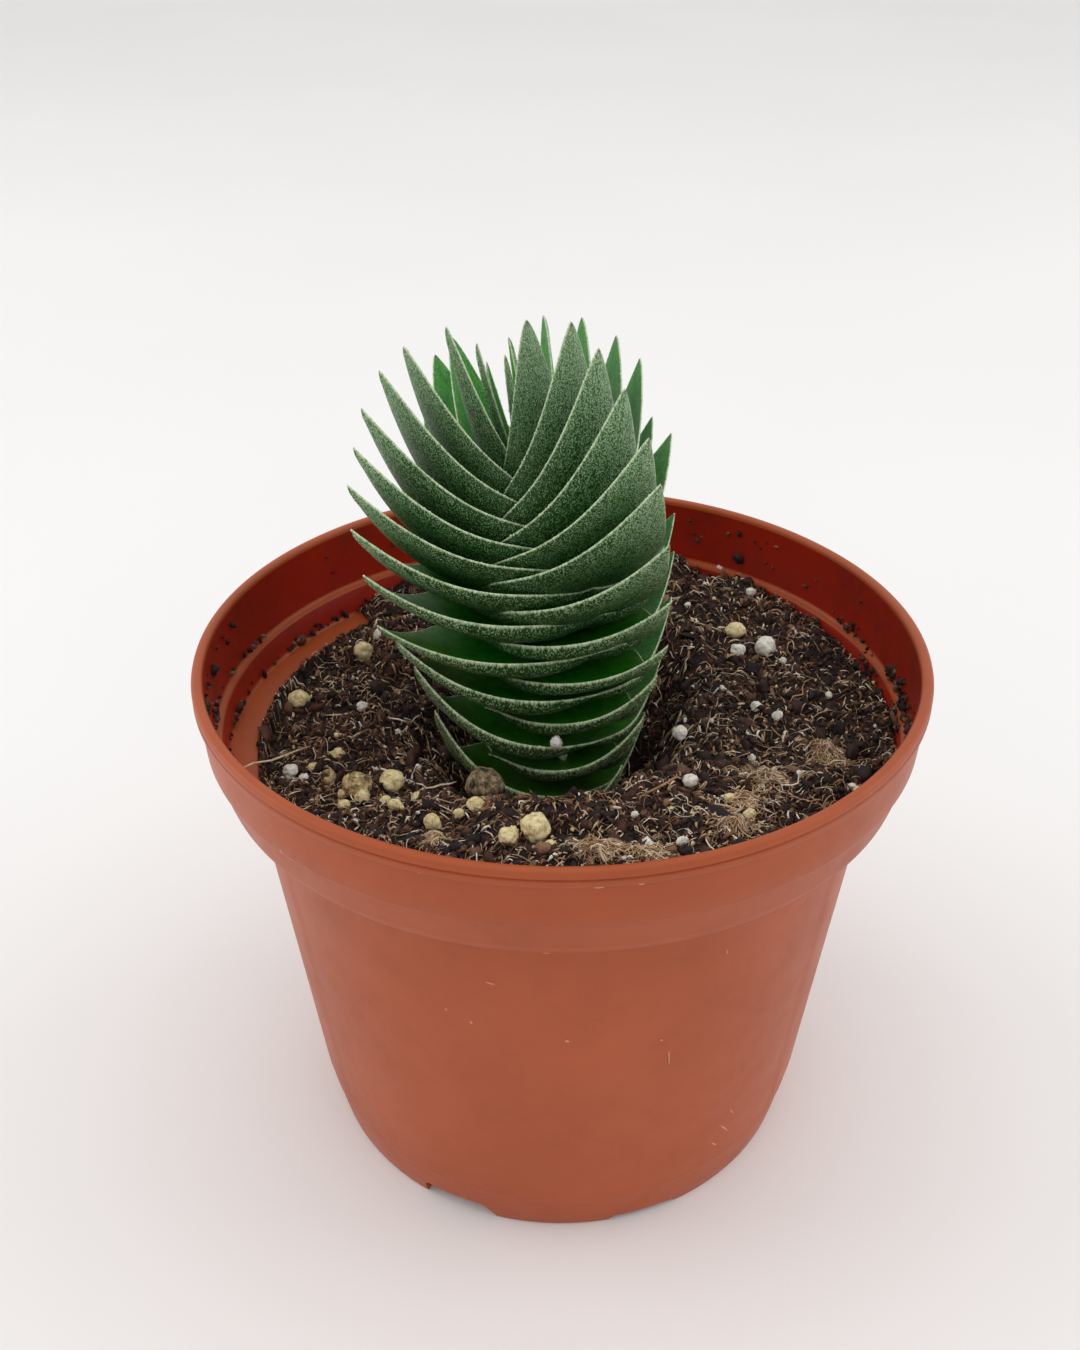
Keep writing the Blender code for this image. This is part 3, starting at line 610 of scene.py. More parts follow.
def grains(centres, sizes, stretch, roughness, subdivisions):
    """Points and faces of many irregular grains. sizes are radii, stretch the spread of their sides."""
    base, base_faces = ball(subdivisions)
    count = len(centres)
    bumps = 1 + roughness * grain_dice.uniform(-1, 1, (count, len(base), 1))
    sides = np.exp(stretch * grain_dice.normal(size=(count, 1, 3)))
    shapes = base[None] * bumps * sides * sizes[:, None, None]
    shapes = np.einsum("nij,nkj->nki", random_turns(count), shapes) + centres[:, None]
    faces = base_faces[None] + (np.arange(count) * len(base))[:, None, None]
    return shapes.reshape(-1, 3), faces.reshape(-1, 3), len(base)


def strands(paths, radii):
    """Points and faces of thin three-sided strands along paths, an array of strand, joint and place."""
    count, joints, _ = paths.shape
    along = np.gradient(paths, axis=1)
    along /= np.linalg.norm(along, axis=2, keepdims=True) + TINY
    side = np.cross(along, np.array([0.0, 0.0, 1.0]))
    side /= np.linalg.norm(side, axis=2, keepdims=True) + TINY
    over = np.cross(side, along)
    taper = np.sin(np.linspace(STRAND_END, math.pi - STRAND_END, joints)) ** STRAND_TAPER
    rings = []
    for corner in range(3):
        turn = TURN * corner / 3
        offset = side * math.cos(turn) + over * math.sin(turn)
        rings.append(paths + offset * (radii[:, None] * taper[None])[:, :, None])
    points = np.stack(rings, axis=2).reshape(count, joints * 3, 3)
    faces = []
    for joint in range(joints - 1):
        for corner in range(3):
            a, b = joint * 3 + corner, joint * 3 + (corner + 1) % 3
            faces += [(a, b, b + 3), (a, b + 3, a + 3)]
    faces += [(2, 1, 0), (joints * 3 - 3, joints * 3 - 2, joints * 3 - 1)]
    faces = np.array(faces)[None] + (np.arange(count) * joints * 3)[:, None, None]
    return points.reshape(-1, 3), faces.reshape(-1, 3), joints * 3


def lying_paths(starts, lengths, lift, bend, joints=FIBRE_JOINTS):
    """Curved paths that start at places on the mix and lie on it, with a little lift in the middle."""
    count = len(starts)
    heading = grain_dice.uniform(0, TURN, count)
    turning = grain_dice.normal(0, bend, count)
    places = [starts[:, :2]]
    step = lengths / (joints - 1)
    for _ in range(1, joints):
        heading = heading + turning / (joints - 1) + grain_dice.normal(0, FIBRE_WANDER, count)
        move = np.column_stack([np.cos(heading), np.sin(heading)]) * step[:, None]
        places.append(places[-1] + move)
    flat = np.stack(places, axis=1)
    far = np.linalg.norm(flat, axis=2)
    limit = mix_edge(np.arctan2(flat[..., 1], flat[..., 0]))
    flat *= np.minimum(1, limit / np.maximum(far, TINY))[..., None]
    arch = np.sin(np.linspace(0, math.pi, joints))[None] * lift[:, None]
    heights = mix_top(flat[..., 0], flat[..., 1]) + arch + LYING_HEIGHT
    return np.concatenate([flat, heights[..., None]], axis=2)


def log_sizes(count, middle_and_spread):
    """Random sizes, as many of them a given factor over the middle as under it."""
    middle, spread = middle_and_spread
    return middle * np.exp(spread * grain_dice.normal(size=count))


def random_tones(count, spread):
    dark, light, lightest = spread
    return grain_dice.beta(dark, light, count) * lightest


def toned_piece(name, parts, finish):
    """One piece from several (points, faces, points a grain, tones), with a tone for each grain."""
    all_points, all_faces, tones = [], [], []
    start = 0
    for points, faces, each, tone in parts:
        all_points.append(points)
        all_faces.append(faces + start)
        tones.append(np.repeat(tone, each))
        start += len(points)
    layers = {"tone": np.concatenate(tones)}
    return add_piece(name, np.concatenate(all_points), np.concatenate(all_faces), [finish], layers=layers)


# Peat crumbs: each one has its own shade, from black to the brown of dry peat, and is rough all over
crumb, crumb_shader = new_material("torn_peat_crumbs", IOR=1.45, Roughness=0.7)
crumb_tone = add_node(crumb, "ShaderNodeAttribute", {"attribute_name": "tone"}, {}).outputs["Fac"]
crumb_place = add_node(crumb, "ShaderNodeTexCoord", {}, {}).outputs["Object"]
crumb_grit = add_node(
    crumb, "ShaderNodeTexNoise",
    {"Scale": 1 / (0.3 * MM), "Detail": 6.0, "Roughness": 0.75}, {"Vector": crumb_place},
)
crumb_shade = add_node(
    crumb, "ShaderNodeMath", {"operation": "MULTIPLY_ADD", 1: 0.55},
    {0: crumb_grit.outputs["Fac"], 2: crumb_tone},
)
crumb_colour = add_node(
    crumb, "ShaderNodeValToRGB",
    {"stops": ((0.2, "060302"), (0.45, "1E0E08"), (0.7, "4E2C1E"), (0.95, "947052"))},
    {"Fac": crumb_shade.outputs["Value"]},
)
link(crumb, crumb_colour.outputs["Color"], crumb_shader, "Base Color")
crumb_bump = add_node(
    crumb, "ShaderNodeBump", {"Strength": 0.8, "Distance": 0.12 * MM}, {"Height": crumb_grit.outputs["Fac"]}
)
link(crumb, crumb_bump.outputs["Normal"], crumb_shader, "Normal")

# Plant fibres: dry, thin and slightly shiny. The tone runs from dark brown moss to straw and pale roots, and
# its near-white end is partly a painted highlight, for glints on damp fibres.
fibre, fibre_shader = new_material("dry_plant_fibre", IOR=1.5, Roughness=0.5)
fibre_tone = add_node(fibre, "ShaderNodeAttribute", {"attribute_name": "tone"}, {}).outputs["Fac"]
fibre_place = add_node(fibre, "ShaderNodeTexCoord", {}, {}).outputs["Object"]
fibre_stain = add_node(
    fibre, "ShaderNodeTexNoise", {"Scale": 1 / (0.8 * MM), "Detail": 4.0}, {"Vector": fibre_place}
)
fibre_shade = add_node(
    fibre, "ShaderNodeMath", {"operation": "MULTIPLY_ADD", 1: 0.3},
    {0: fibre_stain.outputs["Fac"], 2: fibre_tone},
)
# The two palest stops are partly painted highlight, besides the real straw and pale roots
fibre_colour = add_node(
    fibre, "ShaderNodeValToRGB",
    {"stops": ((0.2, "1A0D07"), (0.4, "56331F"), (0.58, "9C744E"), (0.76, "D4B790"), (0.93, "F2E9D4"))},
    {"Fac": fibre_shade.outputs["Value"]},
)
link(fibre, fibre_colour.outputs["Color"], fibre_shader, "Base Color")

crumb_spots = scattered(CRUMBS)
crumb_sizes = log_sizes(CRUMBS, CRUMB_SIZES)
crumb_spots[:, 2] += crumb_sizes * CRUMB_LIFT
small_crumbs = grains(crumb_spots, crumb_sizes, stretch=0.45, roughness=0.4, subdivisions=1)
crumb_pieces = [(*small_crumbs, random_tones(CRUMBS, CRUMB_TONES))]
peat_crumb_piece = toned_piece("peat_crumbs", crumb_pieces, crumb)
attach(peat_crumb_piece, BODY)

big_spots = scattered(BIG_CRUMBS)
big_sizes = log_sizes(BIG_CRUMBS, BIG_CRUMB_SIZES)
big_spots[:, 2] += big_sizes * BIG_CRUMB_LIFT
big_crumbs = grains(big_spots, big_sizes, stretch=0.35, roughness=0.35, subdivisions=2)
parts = [(*big_crumbs, random_tones(BIG_CRUMBS, BIG_CRUMB_TONES))]
for bearing, height, spread, spread_height, count in CLINGING:
    turns = np.radians(grain_dice.normal(bearing, spread / 2, count))
    heights = height + np.abs(grain_dice.normal(0, spread_height, count))
    heights = np.minimum(heights, CLINGING_TOP) * MM
    sizes = log_sizes(count, CRUMB_SIZES)
    reach = wall_radius(heights) - sizes * CLINGING_SINK
    spots = np.column_stack([reach * np.cos(turns), reach * np.sin(turns), heights])
    clinging = grains(spots, sizes, stretch=0.35, roughness=0.3, subdivisions=1)
    parts.append((*clinging, grain_dice.uniform(0, 0.6, count)))
lump_piece = toned_piece("peat_lumps", parts, crumb)
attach(lump_piece, BODY)

fibre_spots = scattered(FIBRES)
fibre_paths = lying_paths(
    fibre_spots, log_sizes(FIBRES, FIBRE_LENGTHS), lift=grain_dice.uniform(0, 0.5, FIBRES) * MM, bend=1.3
)
fibre_strands = strands(fibre_paths, log_sizes(FIBRES, FIBRE_THICKNESS))
fibre_tones = random_tones(FIBRES, FIBRE_TONES)
fibre_piece = toned_piece("moss_fibres", [(*fibre_strands, fibre_tones)], fibre)
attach(fibre_piece, BODY)

# Shreds: short, broad bits of torn peat, which lie criss-cross and make the top look ragged
shred_spots = scattered(SHREDS)
shred_paths = lying_paths(
    shred_spots, log_sizes(SHREDS, SHRED_LENGTHS), lift=grain_dice.uniform(0, 0.45, SHREDS) * MM,
    bend=0.9, joints=SHRED_JOINTS,
)
shred_tilts = grain_dice.normal(0, SHRED_TILT, (SHREDS, 1))
shred_paths[..., 2] += (np.linspace(-0.5, 0.5, SHRED_JOINTS) * shred_tilts) * MM
shred_strands = strands(shred_paths, log_sizes(SHREDS, SHRED_THICKNESS))
shred_tones = random_tones(SHREDS, SHRED_TONES)
shred_piece = toned_piece("peat_shreds", [(*shred_strands, shred_tones)], fibre)
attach(shred_piece, BODY)

# Straws and thin roots: start, end and radius in millimetres, height over the mix at both ends, and tone
STRAWS = (
    ((-36.3, -13.9), (-30.1, -2.1), 0.16, 3.6, 0.7, 0.62),
    ((-21.3, -6.8), (-15.1, -8.8), 0.24, 0.7, 0.5, 0.74),
    ((-16.9, -9.8), (-12.2, -7.6), 0.14, 0.4, 2.2, 0.66), ((-21.7, 5.2), (-18.5, 4.1), 0.12, 0.4, 0.9, 0.92),
    ((20.5, -14.5), (25.5, -11.0), 0.12, 0.4, 0.6, 0.7), ((15.0, -19.5), (19.0, -20.5), 0.14, 0.3, 0.8, 0.6),
    ((17.0, 20.0), (21.0, 17.0), 0.11, 0.4, 0.5, 0.55), ((28.0, 3.0), (31.0, 8.0), 0.12, 0.5, 0.4, 0.5),
    ((-12.0, 26.0), (-4.0, 29.0), 0.14, 0.5, 0.9, 0.6), ((24.5, -17.0), (27.0, -13.5), 0.1, 0.5, 0.9, 0.85),
)
STRAW_SWAY = 0.25 * MM
straw_paths = []
for start, end, _, start_height, end_height, _ in STRAWS:
    share = np.linspace(0, 1, FIBRE_JOINTS)
    x = (start[0] + (end[0] - start[0]) * share) * MM
    y = (start[1] + (end[1] - start[1]) * share) * MM
    sway = grain_dice.normal(0, STRAW_SWAY, FIBRE_JOINTS)
    bed = np.interp(share, (0, 1), mix_top(x[[0, -1]], y[[0, -1]]))
    lift = (start_height + (end_height - start_height) * share) * MM
    straw_paths.append(np.column_stack([x + sway, y - sway, bed + lift]))
straw_radii = np.array([straw[2] for straw in STRAWS]) * MM
straw_strands = strands(np.array(straw_paths), straw_radii)
straw_tones = np.array([straw[5] for straw in STRAWS])
straw_piece = toned_piece("straws", [(*straw_strands, straw_tones)], fibre)
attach(straw_piece, BODY)

clump_parts = []
for bearing, distance, width, height, count in CLUMPS:
    bearing = math.radians(bearing)
    middle = Vector((math.cos(bearing), math.sin(bearing))) * distance * MM
    offsets = grain_dice.normal(0, width / 2 * MM / CLUMP_CROWDING, (count, 2))
    x, y = middle.x + offsets[:, 0], middle.y + offsets[:, 1]
    starts = np.column_stack([x, y, mix_top(x, y)])
    paths = lying_paths(starts, log_sizes(count, CLUMP_LENGTHS), lift=np.zeros(count), bend=2.0)
    apart = np.hypot(paths[..., 0] - middle.x, paths[..., 1] - middle.y) / (width / 2 * MM)
    paths[..., 2] += height * MM * np.exp(-(apart**2)) * grain_dice.uniform(*CLUMP_SWELLS, (count, 1))
    clump_strands = strands(paths, log_sizes(count, CLUMP_THICKNESS))
    clump_parts.append((*clump_strands, grain_dice.uniform(*CLUMP_TONES, count)))
clump_piece = toned_piece("moss_clumps", clump_parts, fibre)
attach(clump_piece, BODY)

# Pumice and perlite: granules mixed into the peat so that it drains. Pumice is cream to yellowish with
# rough pores, perlite is white and froth-like. A cracked bark chip lies in front of the plant.

STONE_SUBDIVISIONS = 4
# Fineness over the stone's half width, and depth as a share of it
STONE_LUMPS = ((1.1, 0.20), (2.6, 0.10), (6.0, 0.05))
# Broken faces: fineness, depth, and how far from a cell's middle they start and level off
STONE_FACETS = (2.2, 0.16, 0.3, 0.5)
# Each stone reads its lumps and its faces from another part of the noise
LUMP_SEED_STEP = 3.7
FACET_SEED_STEP = 1.7
STAIN_EDGE = 0.14


def rocky(name, finish, swell, seed):
    """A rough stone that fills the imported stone's box, and takes its node's place."""
    low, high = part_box(name)
    middle, half = (low + high) / 2, (high - low) / 2
    base, faces = ball(STONE_SUBDIVISIONS)
    fine, deep, facet_start, facet_end = STONE_FACETS
    points = []
    for direction in base:
        along = Vector(direction)
        bump = 1.0
        for fineness, depth in STONE_LUMPS:
            bump += depth * noise.noise(along * fineness + Vector((seed * LUMP_SEED_STEP, 0, fineness)))
        cell = noise.voronoi(along * fine + Vector((seed, seed * FACET_SEED_STEP, 0)))[0]
        bump += deep * (min(cell[0], facet_end) - facet_start)
        reach = Vector((along.x * half.x, along.y * half.y, along.z * half.z))
        points.append(middle + reach * bump * swell)
    piece = add_piece(name + "_stone", points, faces, [finish])
    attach(piece, BODY)
    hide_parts(name)
    return piece


# Volcanic rock, crushed or expanded by heat: dull, pale and pitted, darker in its pores, with brown peat
# stains
def mineral(name, light, middle, dark, stain, stain_from):
    made, shader = new_material(name, IOR=1.5, Roughness=0.88, Subsurface_Weight=0.08)
    shader.inputs["Subsurface Scale"].default_value = 0.4 * MM
    place = add_node(made, "ShaderNodeTexCoord", {}, {}).outputs["Object"]
    pores = add_node(
        made, "ShaderNodeTexNoise",
        {"Scale": 1 / (0.55 * MM), "Detail": 8.0, "Roughness": 0.7}, {"Vector": place},
    )
    tint = add_node(
        made, "ShaderNodeValToRGB", {"stops": ((0.32, dark), (0.46, middle), (0.6, light))},
        {"Fac": pores.outputs["Fac"]},
    )
    patches = add_node(
        made, "ShaderNodeTexNoise",
        {"Scale": 1 / (1.3 * MM), "Detail": 6.0, "Roughness": 0.7}, {"Vector": place},
    )
    stained = add_node(
        made, "ShaderNodeMapRange", {"From Min": stain_from, "From Max": stain_from + STAIN_EDGE},
        {"Value": patches.outputs["Fac"]},
    )
    mixed = add_node(
        made, "ShaderNodeMix", {"data_type": "RGBA", 7: srgb(stain)},
        {0: stained.outputs["Result"], 6: tint.outputs["Color"]},
    )
    link(made, mixed.outputs[2], shader, "Base Color")
    pits = add_node(
        made, "ShaderNodeBump", {"Strength": 0.8, "Distance": 0.15 * MM}, {"Height": pores.outputs["Fac"]}
    )
    link(made, pits.outputs["Normal"], shader, "Normal")
    return made


pumice_rock = mineral("crushed_pumice", "F0E3B8", "DCC78D", "A0824E", "6A4E2C", 0.56)
stained_rock = mineral("peat_stained_pumice", "D9C694", "A98B58", "5E4628", "3A2816", 0.46)
perlite_froth = mineral("expanded_perlite", "F4F1E8", "DDD8C8", "A59C86", "7B6850", 0.62)

STAINED_STONES = ("pumice_03", "pumice_05")
stone_names = sorted(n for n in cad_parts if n.startswith(("pumice", "perlite")))
for seed, stone_name in enumerate(stone_names):
    stone_finish = perlite_froth if stone_name.startswith("perlite") else pumice_rock
    if stone_name in STAINED_STONES:
        stone_finish = stained_rock
    stone = rocky(stone_name, stone_finish, swell=1.06, seed=seed)

# Small granules: place from the pot's axis and diameter, in millimetres
SMALL_PUMICE = (
    (-25.7, 16.9, 1.9), (-24.5, -14.7, 1.6), (-18.4, -16.4, 1.5), (-13.8, -20.4, 1.8), (-5.1, -24.8, 1.9),
    (-26.8, -2.9, 1.8), (-22.6, -13.4, 1.7), (-25.0, -12.3, 1.3), (-19.9, -13.7, 1.4), (-11.2, -18.6, 1.3),
    (-16.2, -15.0, 1.1), (-29.3, -6.4, 1.4), (33.0, -15.6, 1.2), (20.4, -21.0, 1.6), (18.6, -18.2, 1.3),
    (14.3, 30.0, 1.2), (3.2, -27.6, 1.1), (-1.0, -27.0, 1.2),
)
SMALL_PERLITE = (
    (-25.0, 6.7, 1.3), (-29.9, -9.0, 1.1), (22.7, 13.5, 1.4), (25.6, 27.2, 1.2), (22.3, 34.5, 1.3),
    (23.7, 1.1, 1.5), (25.8, -1.3, 1.3), (9.0, -27.1, 1.3), (32.5, -15.2, 0.9), (-24.4, 20.7, 1.3),
    (-31.9, -7.5, 1.4), (13.9, -15.5, 1.2), (29.5, 31.0, 0.9), (17.0, 25.0, 0.9), (28.2, 12.0, 0.9),
    (22.0, -9.0, 0.9), (-20.1, 3.0, 0.9), (-17.0, -4.2, 0.9), (-21.8, -6.2, 0.8), (12.8, -26.3, 1.2),
    (20.0, 6.0, 0.7), (33.0, 5.0, 0.9), (-27.0, 13.0, 0.7), (8.0, -22.0, 0.8), (27.0, -12.0, 0.7),
)
# Fine pale grit over the mix: stone dust, and also painted glints standing in for wet highlights on the damp
# peat
GRIT_AND_GLINTS = 240
GRIT_SIZES = (0.14 * MM, 0.4)
GRIT_LIFT = 0.25 * MM
# How far a small granule lies over the mix, as a share of its width
GRANULE_LIFT = 0.2


def granules(name, spots, grit, finish):
    """Small granules at their places on the mix, and fine pale grit of the same stone scattered over it. The
    grit is partly stone dust and partly painted glints, for wet highlights on the peat.
    """
    spots = np.array(spots) * MM
    x, y, width = spots.T
    centres = np.column_stack([x, y, mix_top(x, y) + width * GRANULE_LIFT])
    stones = grains(centres, width / 2, stretch=0.12, roughness=0.16, subdivisions=3)
    dust = scattered(grit)
    sizes = log_sizes(grit, GRIT_SIZES)
    dust[:, 2] += GRIT_LIFT
    grit_and_glint_grains = grains(dust, sizes, stretch=0.3, roughness=0.25, subdivisions=1)
    parts = [(*stones, np.zeros(len(spots))), (*grit_and_glint_grains, np.zeros(grit))]
    piece = toned_piece(name, parts, finish)
    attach(piece, BODY)


granules("small_pumice", SMALL_PUMICE, GRIT_AND_GLINTS, pumice_rock)
granules("small_perlite", SMALL_PERLITE, GRIT_AND_GLINTS, perlite_froth)

# Pine bark: a dry chip with cracks along its grain, grey outside and tan where it has split
bark, bark_shader = new_material("cracked_pine_bark", IOR=1.5, Roughness=0.9)
bark_place = add_node(bark, "ShaderNodeTexCoord", {}, {}).outputs["Object"]
bark_grain = add_node(
    bark, "ShaderNodeMapping",
    {"Rotation": (0.3, 0.5, 0.9), "Scale": (1.0, 1.0, 0.25)}, {"Vector": bark_place},
)
bark_lines = add_node(
    bark, "ShaderNodeTexNoise", {"Scale": 1 / (0.7 * MM), "Detail": 6.0, "Roughness": 0.7},
    {"Vector": bark_grain.outputs["Vector"]},
)
bark_colour = add_node(
    bark, "ShaderNodeValToRGB",
    {"stops": ((0.38, "140D07"), (0.46, "5A4A34"), (0.56, "8D7B5C"), (0.7, "B5A27C"))},
    {"Fac": bark_lines.outputs["Fac"]},
)
link(bark, bark_colour.outputs["Color"], bark_shader, "Base Color")
bark_bump = add_node(
    bark, "ShaderNodeBump", {"Strength": 1.0, "Distance": 0.3 * MM}, {"Height": bark_lines.outputs["Fac"]}
)
link(bark, bark_bump.outputs["Normal"], bark_shader, "Normal")
bark_piece = rocky("bark_chip", bark, swell=1.08, seed=31)

# Crassula: one succulent, grown as one piece. Pairs of thick pointed leaves, each pair turned a right angle
# from the next, sit so close on a short stem that they stack into a square column.

PLANT_BASE = np.array([-1.5, 2.1, 50.0]) * MM
STEM_SLOPE = np.array([0.10, 0.20])
STEM_BEND = np.array([-7.1, 4.8])
STEM_BOTTOM = -13.0 * MM
STEM_TOP = 24.3 * MM
STEM_RADII = (3.4 * MM, 1.6 * MM)
STEM_SIDES = 40
STEM_RINGS = 40
YOUNGEST = -2
OLDEST = 24
# Bearings of the front leaf for the even and the odd ages
PAIR_BEARINGS = (math.radians(-53), math.radians(-149))
TOP_NODE = 23.1 * MM
NODE_DROP = 0.47 * MM
SAGGING_AGE = 12.25
SAG = 0.145 * MM
LEAF_LENGTH = 30.0 * MM
LONGEST_AGE = 4.5
YOUNG_SPAN = 12.25
OLD_SPAN = 30.0
BUD_ASCENT = math.radians(85)
OLD_ASCENT = math.radians(25)
OPENING_AGE = 8.5
OPENING_POWER = 0.95
LEAF_WIDTHS = (0.60, 0.70)
WIDENING_AGES = (8, 12.5)
# Fullness of the blade: how much rounder young leaves are than old ones, whose tips are drawn out
OLD_FULLNESS = 1.08
YOUNG_FULLNESS = 0.54
FULLNESS_AGES = 4.0
# In every second pair the old leaves' tips are drawn out further
DRAWN_OUT = -0.25
DRAWN_OUT_AGES = (12, 18)
# The two leaves of a pair are joined by a narrower waist
WAIST = 0.25
WAIST_SHARPNESS = 8
# The blade's profile: old leaves are flat and turn up only towards the tip
YOUNG_CURL = 1.9
OLD_CURL = 3.1
FLATTENING_AGE = 15.4
FLATTENING_SPAN = 1.8
LEAF_FLATNESS = 2.2
# Old pairs hang more level than the bent stem would hold them
LEVELLING = 0.37
LEVELLING_AGES = (7.4, 13.2)
LEAF_THICKNESS = 0.72 * MM
MARGIN_THICKNESS = 0.18 * MM
MARGIN_TAPER = 0.9 * MM
OLD_MARGIN_THICKNESS = 1.0 * MM
OLD_MARGIN_TAPER = 0.45 * MM
THICKENING_AGES = (11, 16)
LEAF_START_RADIUS = 2.3 * MM
LEAF_START_SHARE = 0.6
LEAF_VARIATION = 0.015
GROWTH_SEED = 7
QUARTER_COLUMNS = 26
TIP_CROWDING = 1.5
LEAF_RINGS = (0.0, 0.2, 0.38, 0.54, 0.67, 0.77, 0.85, 0.91, 0.95, 0.98, 1.0)
SLOPE_STEP = 0.01
# Share of the way to the margin from which its direction is taken
MARGIN_PROBE = 0.96
# The margin bulges by this share of its thickness
MARGIN_BULGE = 0.3
LEAF_SMOOTH_ANGLE = math.radians(60)
# Each pair's pattern starts this much further on, so that no two pairs look alike
PATTERN_STEP = 9 * MM
# Old leaves hang, the back ones lowest, and the lowest front ones turn up again: ages and the factors there
FRONT_REACH = ((6, 11, 18, 24), (1.0, 1.08, 1.08, 0.95))
FRONT_LIFT = ((6, 12, 17, 24), (1.0, 0.85, 0.5, 1.4))
BACK_REACH = ((8, 15), (1.0, 0.9))
BACK_LIFT = ((8, 15), (1.0, 0.6))
# Leaves that plainly stand out: (age, side) gives reach, lift and turn in degrees, side 0 in front
ODD_LEAVES = {
    (0, 0): (0.95, 0.85, -15), (0, 1): (1.1, 0.85, 10), (1, 1): (1.15, 1.0, -5), (2, 0): (0.95, 0.95, -10),
    (9, 1): (0.9, 0.8, 0), (13, 1): (0.85, 0.3, 0),
}
ODD_SHARPNESS = 3


def stem_frame(height, level=0.0):
    """Place, right, back and up for what grows at a height on the bent stem, level from 0 to 1."""
    bent = max(height, 0.0)
    offset = STEM_SLOPE * height + STEM_BEND * bent * bent
    slope = STEM_SLOPE + 2 * bent * STEM_BEND
    up = np.array([slope[0], slope[1], 1.0])
    up = up / np.linalg.norm(up) * (1 - level) + np.array([0.0, 0.0, level])
    up /= np.linalg.norm(up)
    right = np.array([1.0, 0.0, 0.0]) - up * up[0]
    right /= np.linalg.norm(right)
    return PLANT_BASE + np.array([offset[0], offset[1], height]), right, np.cross(up, right), up


def leaf_factors(age, side):
    """Reach, lift and turn in degrees of one leaf, against the rule for its pair."""
    reach, lift = (BACK_REACH, BACK_LIFT) if side else (FRONT_REACH, FRONT_LIFT)
    usual = (float(np.interp(age, *reach)), float(np.interp(age, *lift)), 0)
    return ODD_LEAVES.get((age, side), usual)


class LeafPair:
    """Two opposite leaves joined round the stem, as one thin bowl with two long points."""

    def __init__(self, age, growth):
        self.age = age
        span = YOUNG_SPAN if age < LONGEST_AGE else OLD_SPAN
        length = LEAF_LENGTH * (1 - ((age - LONGEST_AGE) / span) ** 2)
        closed = math.exp(-((max(age, 0) / OPENING_AGE) ** OPENING_POWER))
        ascent = OLD_ASCENT + (BUD_ASCENT - OLD_ASCENT) * closed
        self.reach, self.rise = length * math.cos(ascent), length * math.sin(ascent)
        height = TOP_NODE - NODE_DROP * age - SAG * max(age - SAGGING_AGE, 0) ** 2
        level = LEVELLING * float(np.interp(age, LEVELLING_AGES, (0, 1)))
        self.place, self.right, self.back, self.up = stem_frame(height, level)
        self.bearing = PAIR_BEARINGS[age % 2]
        self.width = float(np.interp(age, WIDENING_AGES, LEAF_WIDTHS))
        self.fullness = OLD_FULLNESS + YOUNG_FULLNESS * math.exp(-max(age - 2, 0) / FULLNESS_AGES)
        if age % 2 == 0:
            self.fullness += DRAWN_OUT * float(np.interp(age, DRAWN_OUT_AGES, (0, 1)))
        flattened = 1 / (1 + math.exp((FLATTENING_AGE - age) / FLATTENING_SPAN))
        self.curl = YOUNG_CURL + (OLD_CURL - YOUNG_CURL) * flattened
        self.odd = []
        for side in (0, 1):
            longer, higher, turned = leaf_factors(age, side)
            longer += growth.uniform(-LEAF_VARIATION, LEAF_VARIATION)
            higher += growth.uniform(-LEAF_VARIATION, LEAF_VARIATION)
            self.odd.append((longer - 1, higher - 1, math.radians(turned)))

    def upper(self, share, angle):
        """Points of the upper face, at shares of the way from the stem to the margin."""
        share, angle = np.broadcast_arrays(share, angle)
        front = ((1 + np.cos(angle)) / 2) ** ODD_SHARPNESS
        rear = ((1 - np.cos(angle)) / 2) ** ODD_SHARPNESS
        longer, higher, turned = (a * front + b * rear for a, b in zip(*self.odd))
        along, across = np.abs(np.cos(angle)), np.abs(np.sin(angle))
        margin = (along**self.fullness + (across / self.width) ** self.fullness) ** (-1 / self.fullness)
        margin *= 1 - WAIST * across**WAIST_SHARPNESS
        start = np.minimum(LEAF_START_RADIUS / (self.reach * (1 + longer)), LEAF_START_SHARE * margin)
        out = start + (margin - start) * share
        level = (along**LEAF_FLATNESS + across**LEAF_FLATNESS) ** (1 / LEAF_FLATNESS)
        height = self.rise * (1 + higher) * (out * level) ** self.curl
        turn = self.bearing + angle + turned
        outward = np.cos(turn)[..., None] * self.right + np.sin(turn)[..., None] * self.back
        reach = out * self.reach * (1 + longer)
        return self.place + outward * reach[..., None] + height[..., None] * self.up

    def normal(self, share, angle):
        """Unit normals of the upper face, pointing up."""
        along = self.upper(share, angle) - self.upper(share - SLOPE_STEP, angle)
        across = self.upper(share, angle + SLOPE_STEP) - self.upper(share, angle - SLOPE_STEP)
        normal = np.cross(along, across)
        normal /= np.linalg.norm(normal, axis=-1, keepdims=True)
        return normal * np.sign(normal @ self.up)[..., None]

    def to_margin(self, share, angle):
        """Distance across the face from points to the margin."""
        edge = self.upper(1.0, angle)
        radial = edge - self.upper(MARGIN_PROBE, angle)
        radial /= np.linalg.norm(radial, axis=-1, keepdims=True)
        tangent = self.upper(1.0, angle + SLOPE_STEP) - self.upper(1.0, angle - SLOPE_STEP)
        tangent /= np.linalg.norm(tangent, axis=-1, keepdims=True)
        squareness = np.linalg.norm(np.cross(radial, tangent), axis=-1)
        return np.linalg.norm(edge - self.upper(share, angle), axis=-1) * squareness


def pair_angles():
    """Angles round a pair, crowded towards both tips."""
    quarter = math.pi / 2 * (np.arange(QUARTER_COLUMNS) / QUARTER_COLUMNS) ** TIP_CROWDING
    half = np.concatenate([quarter, [math.pi / 2], (math.pi - quarter[1:])[::-1]])
    return np.concatenate([half, half + math.pi])


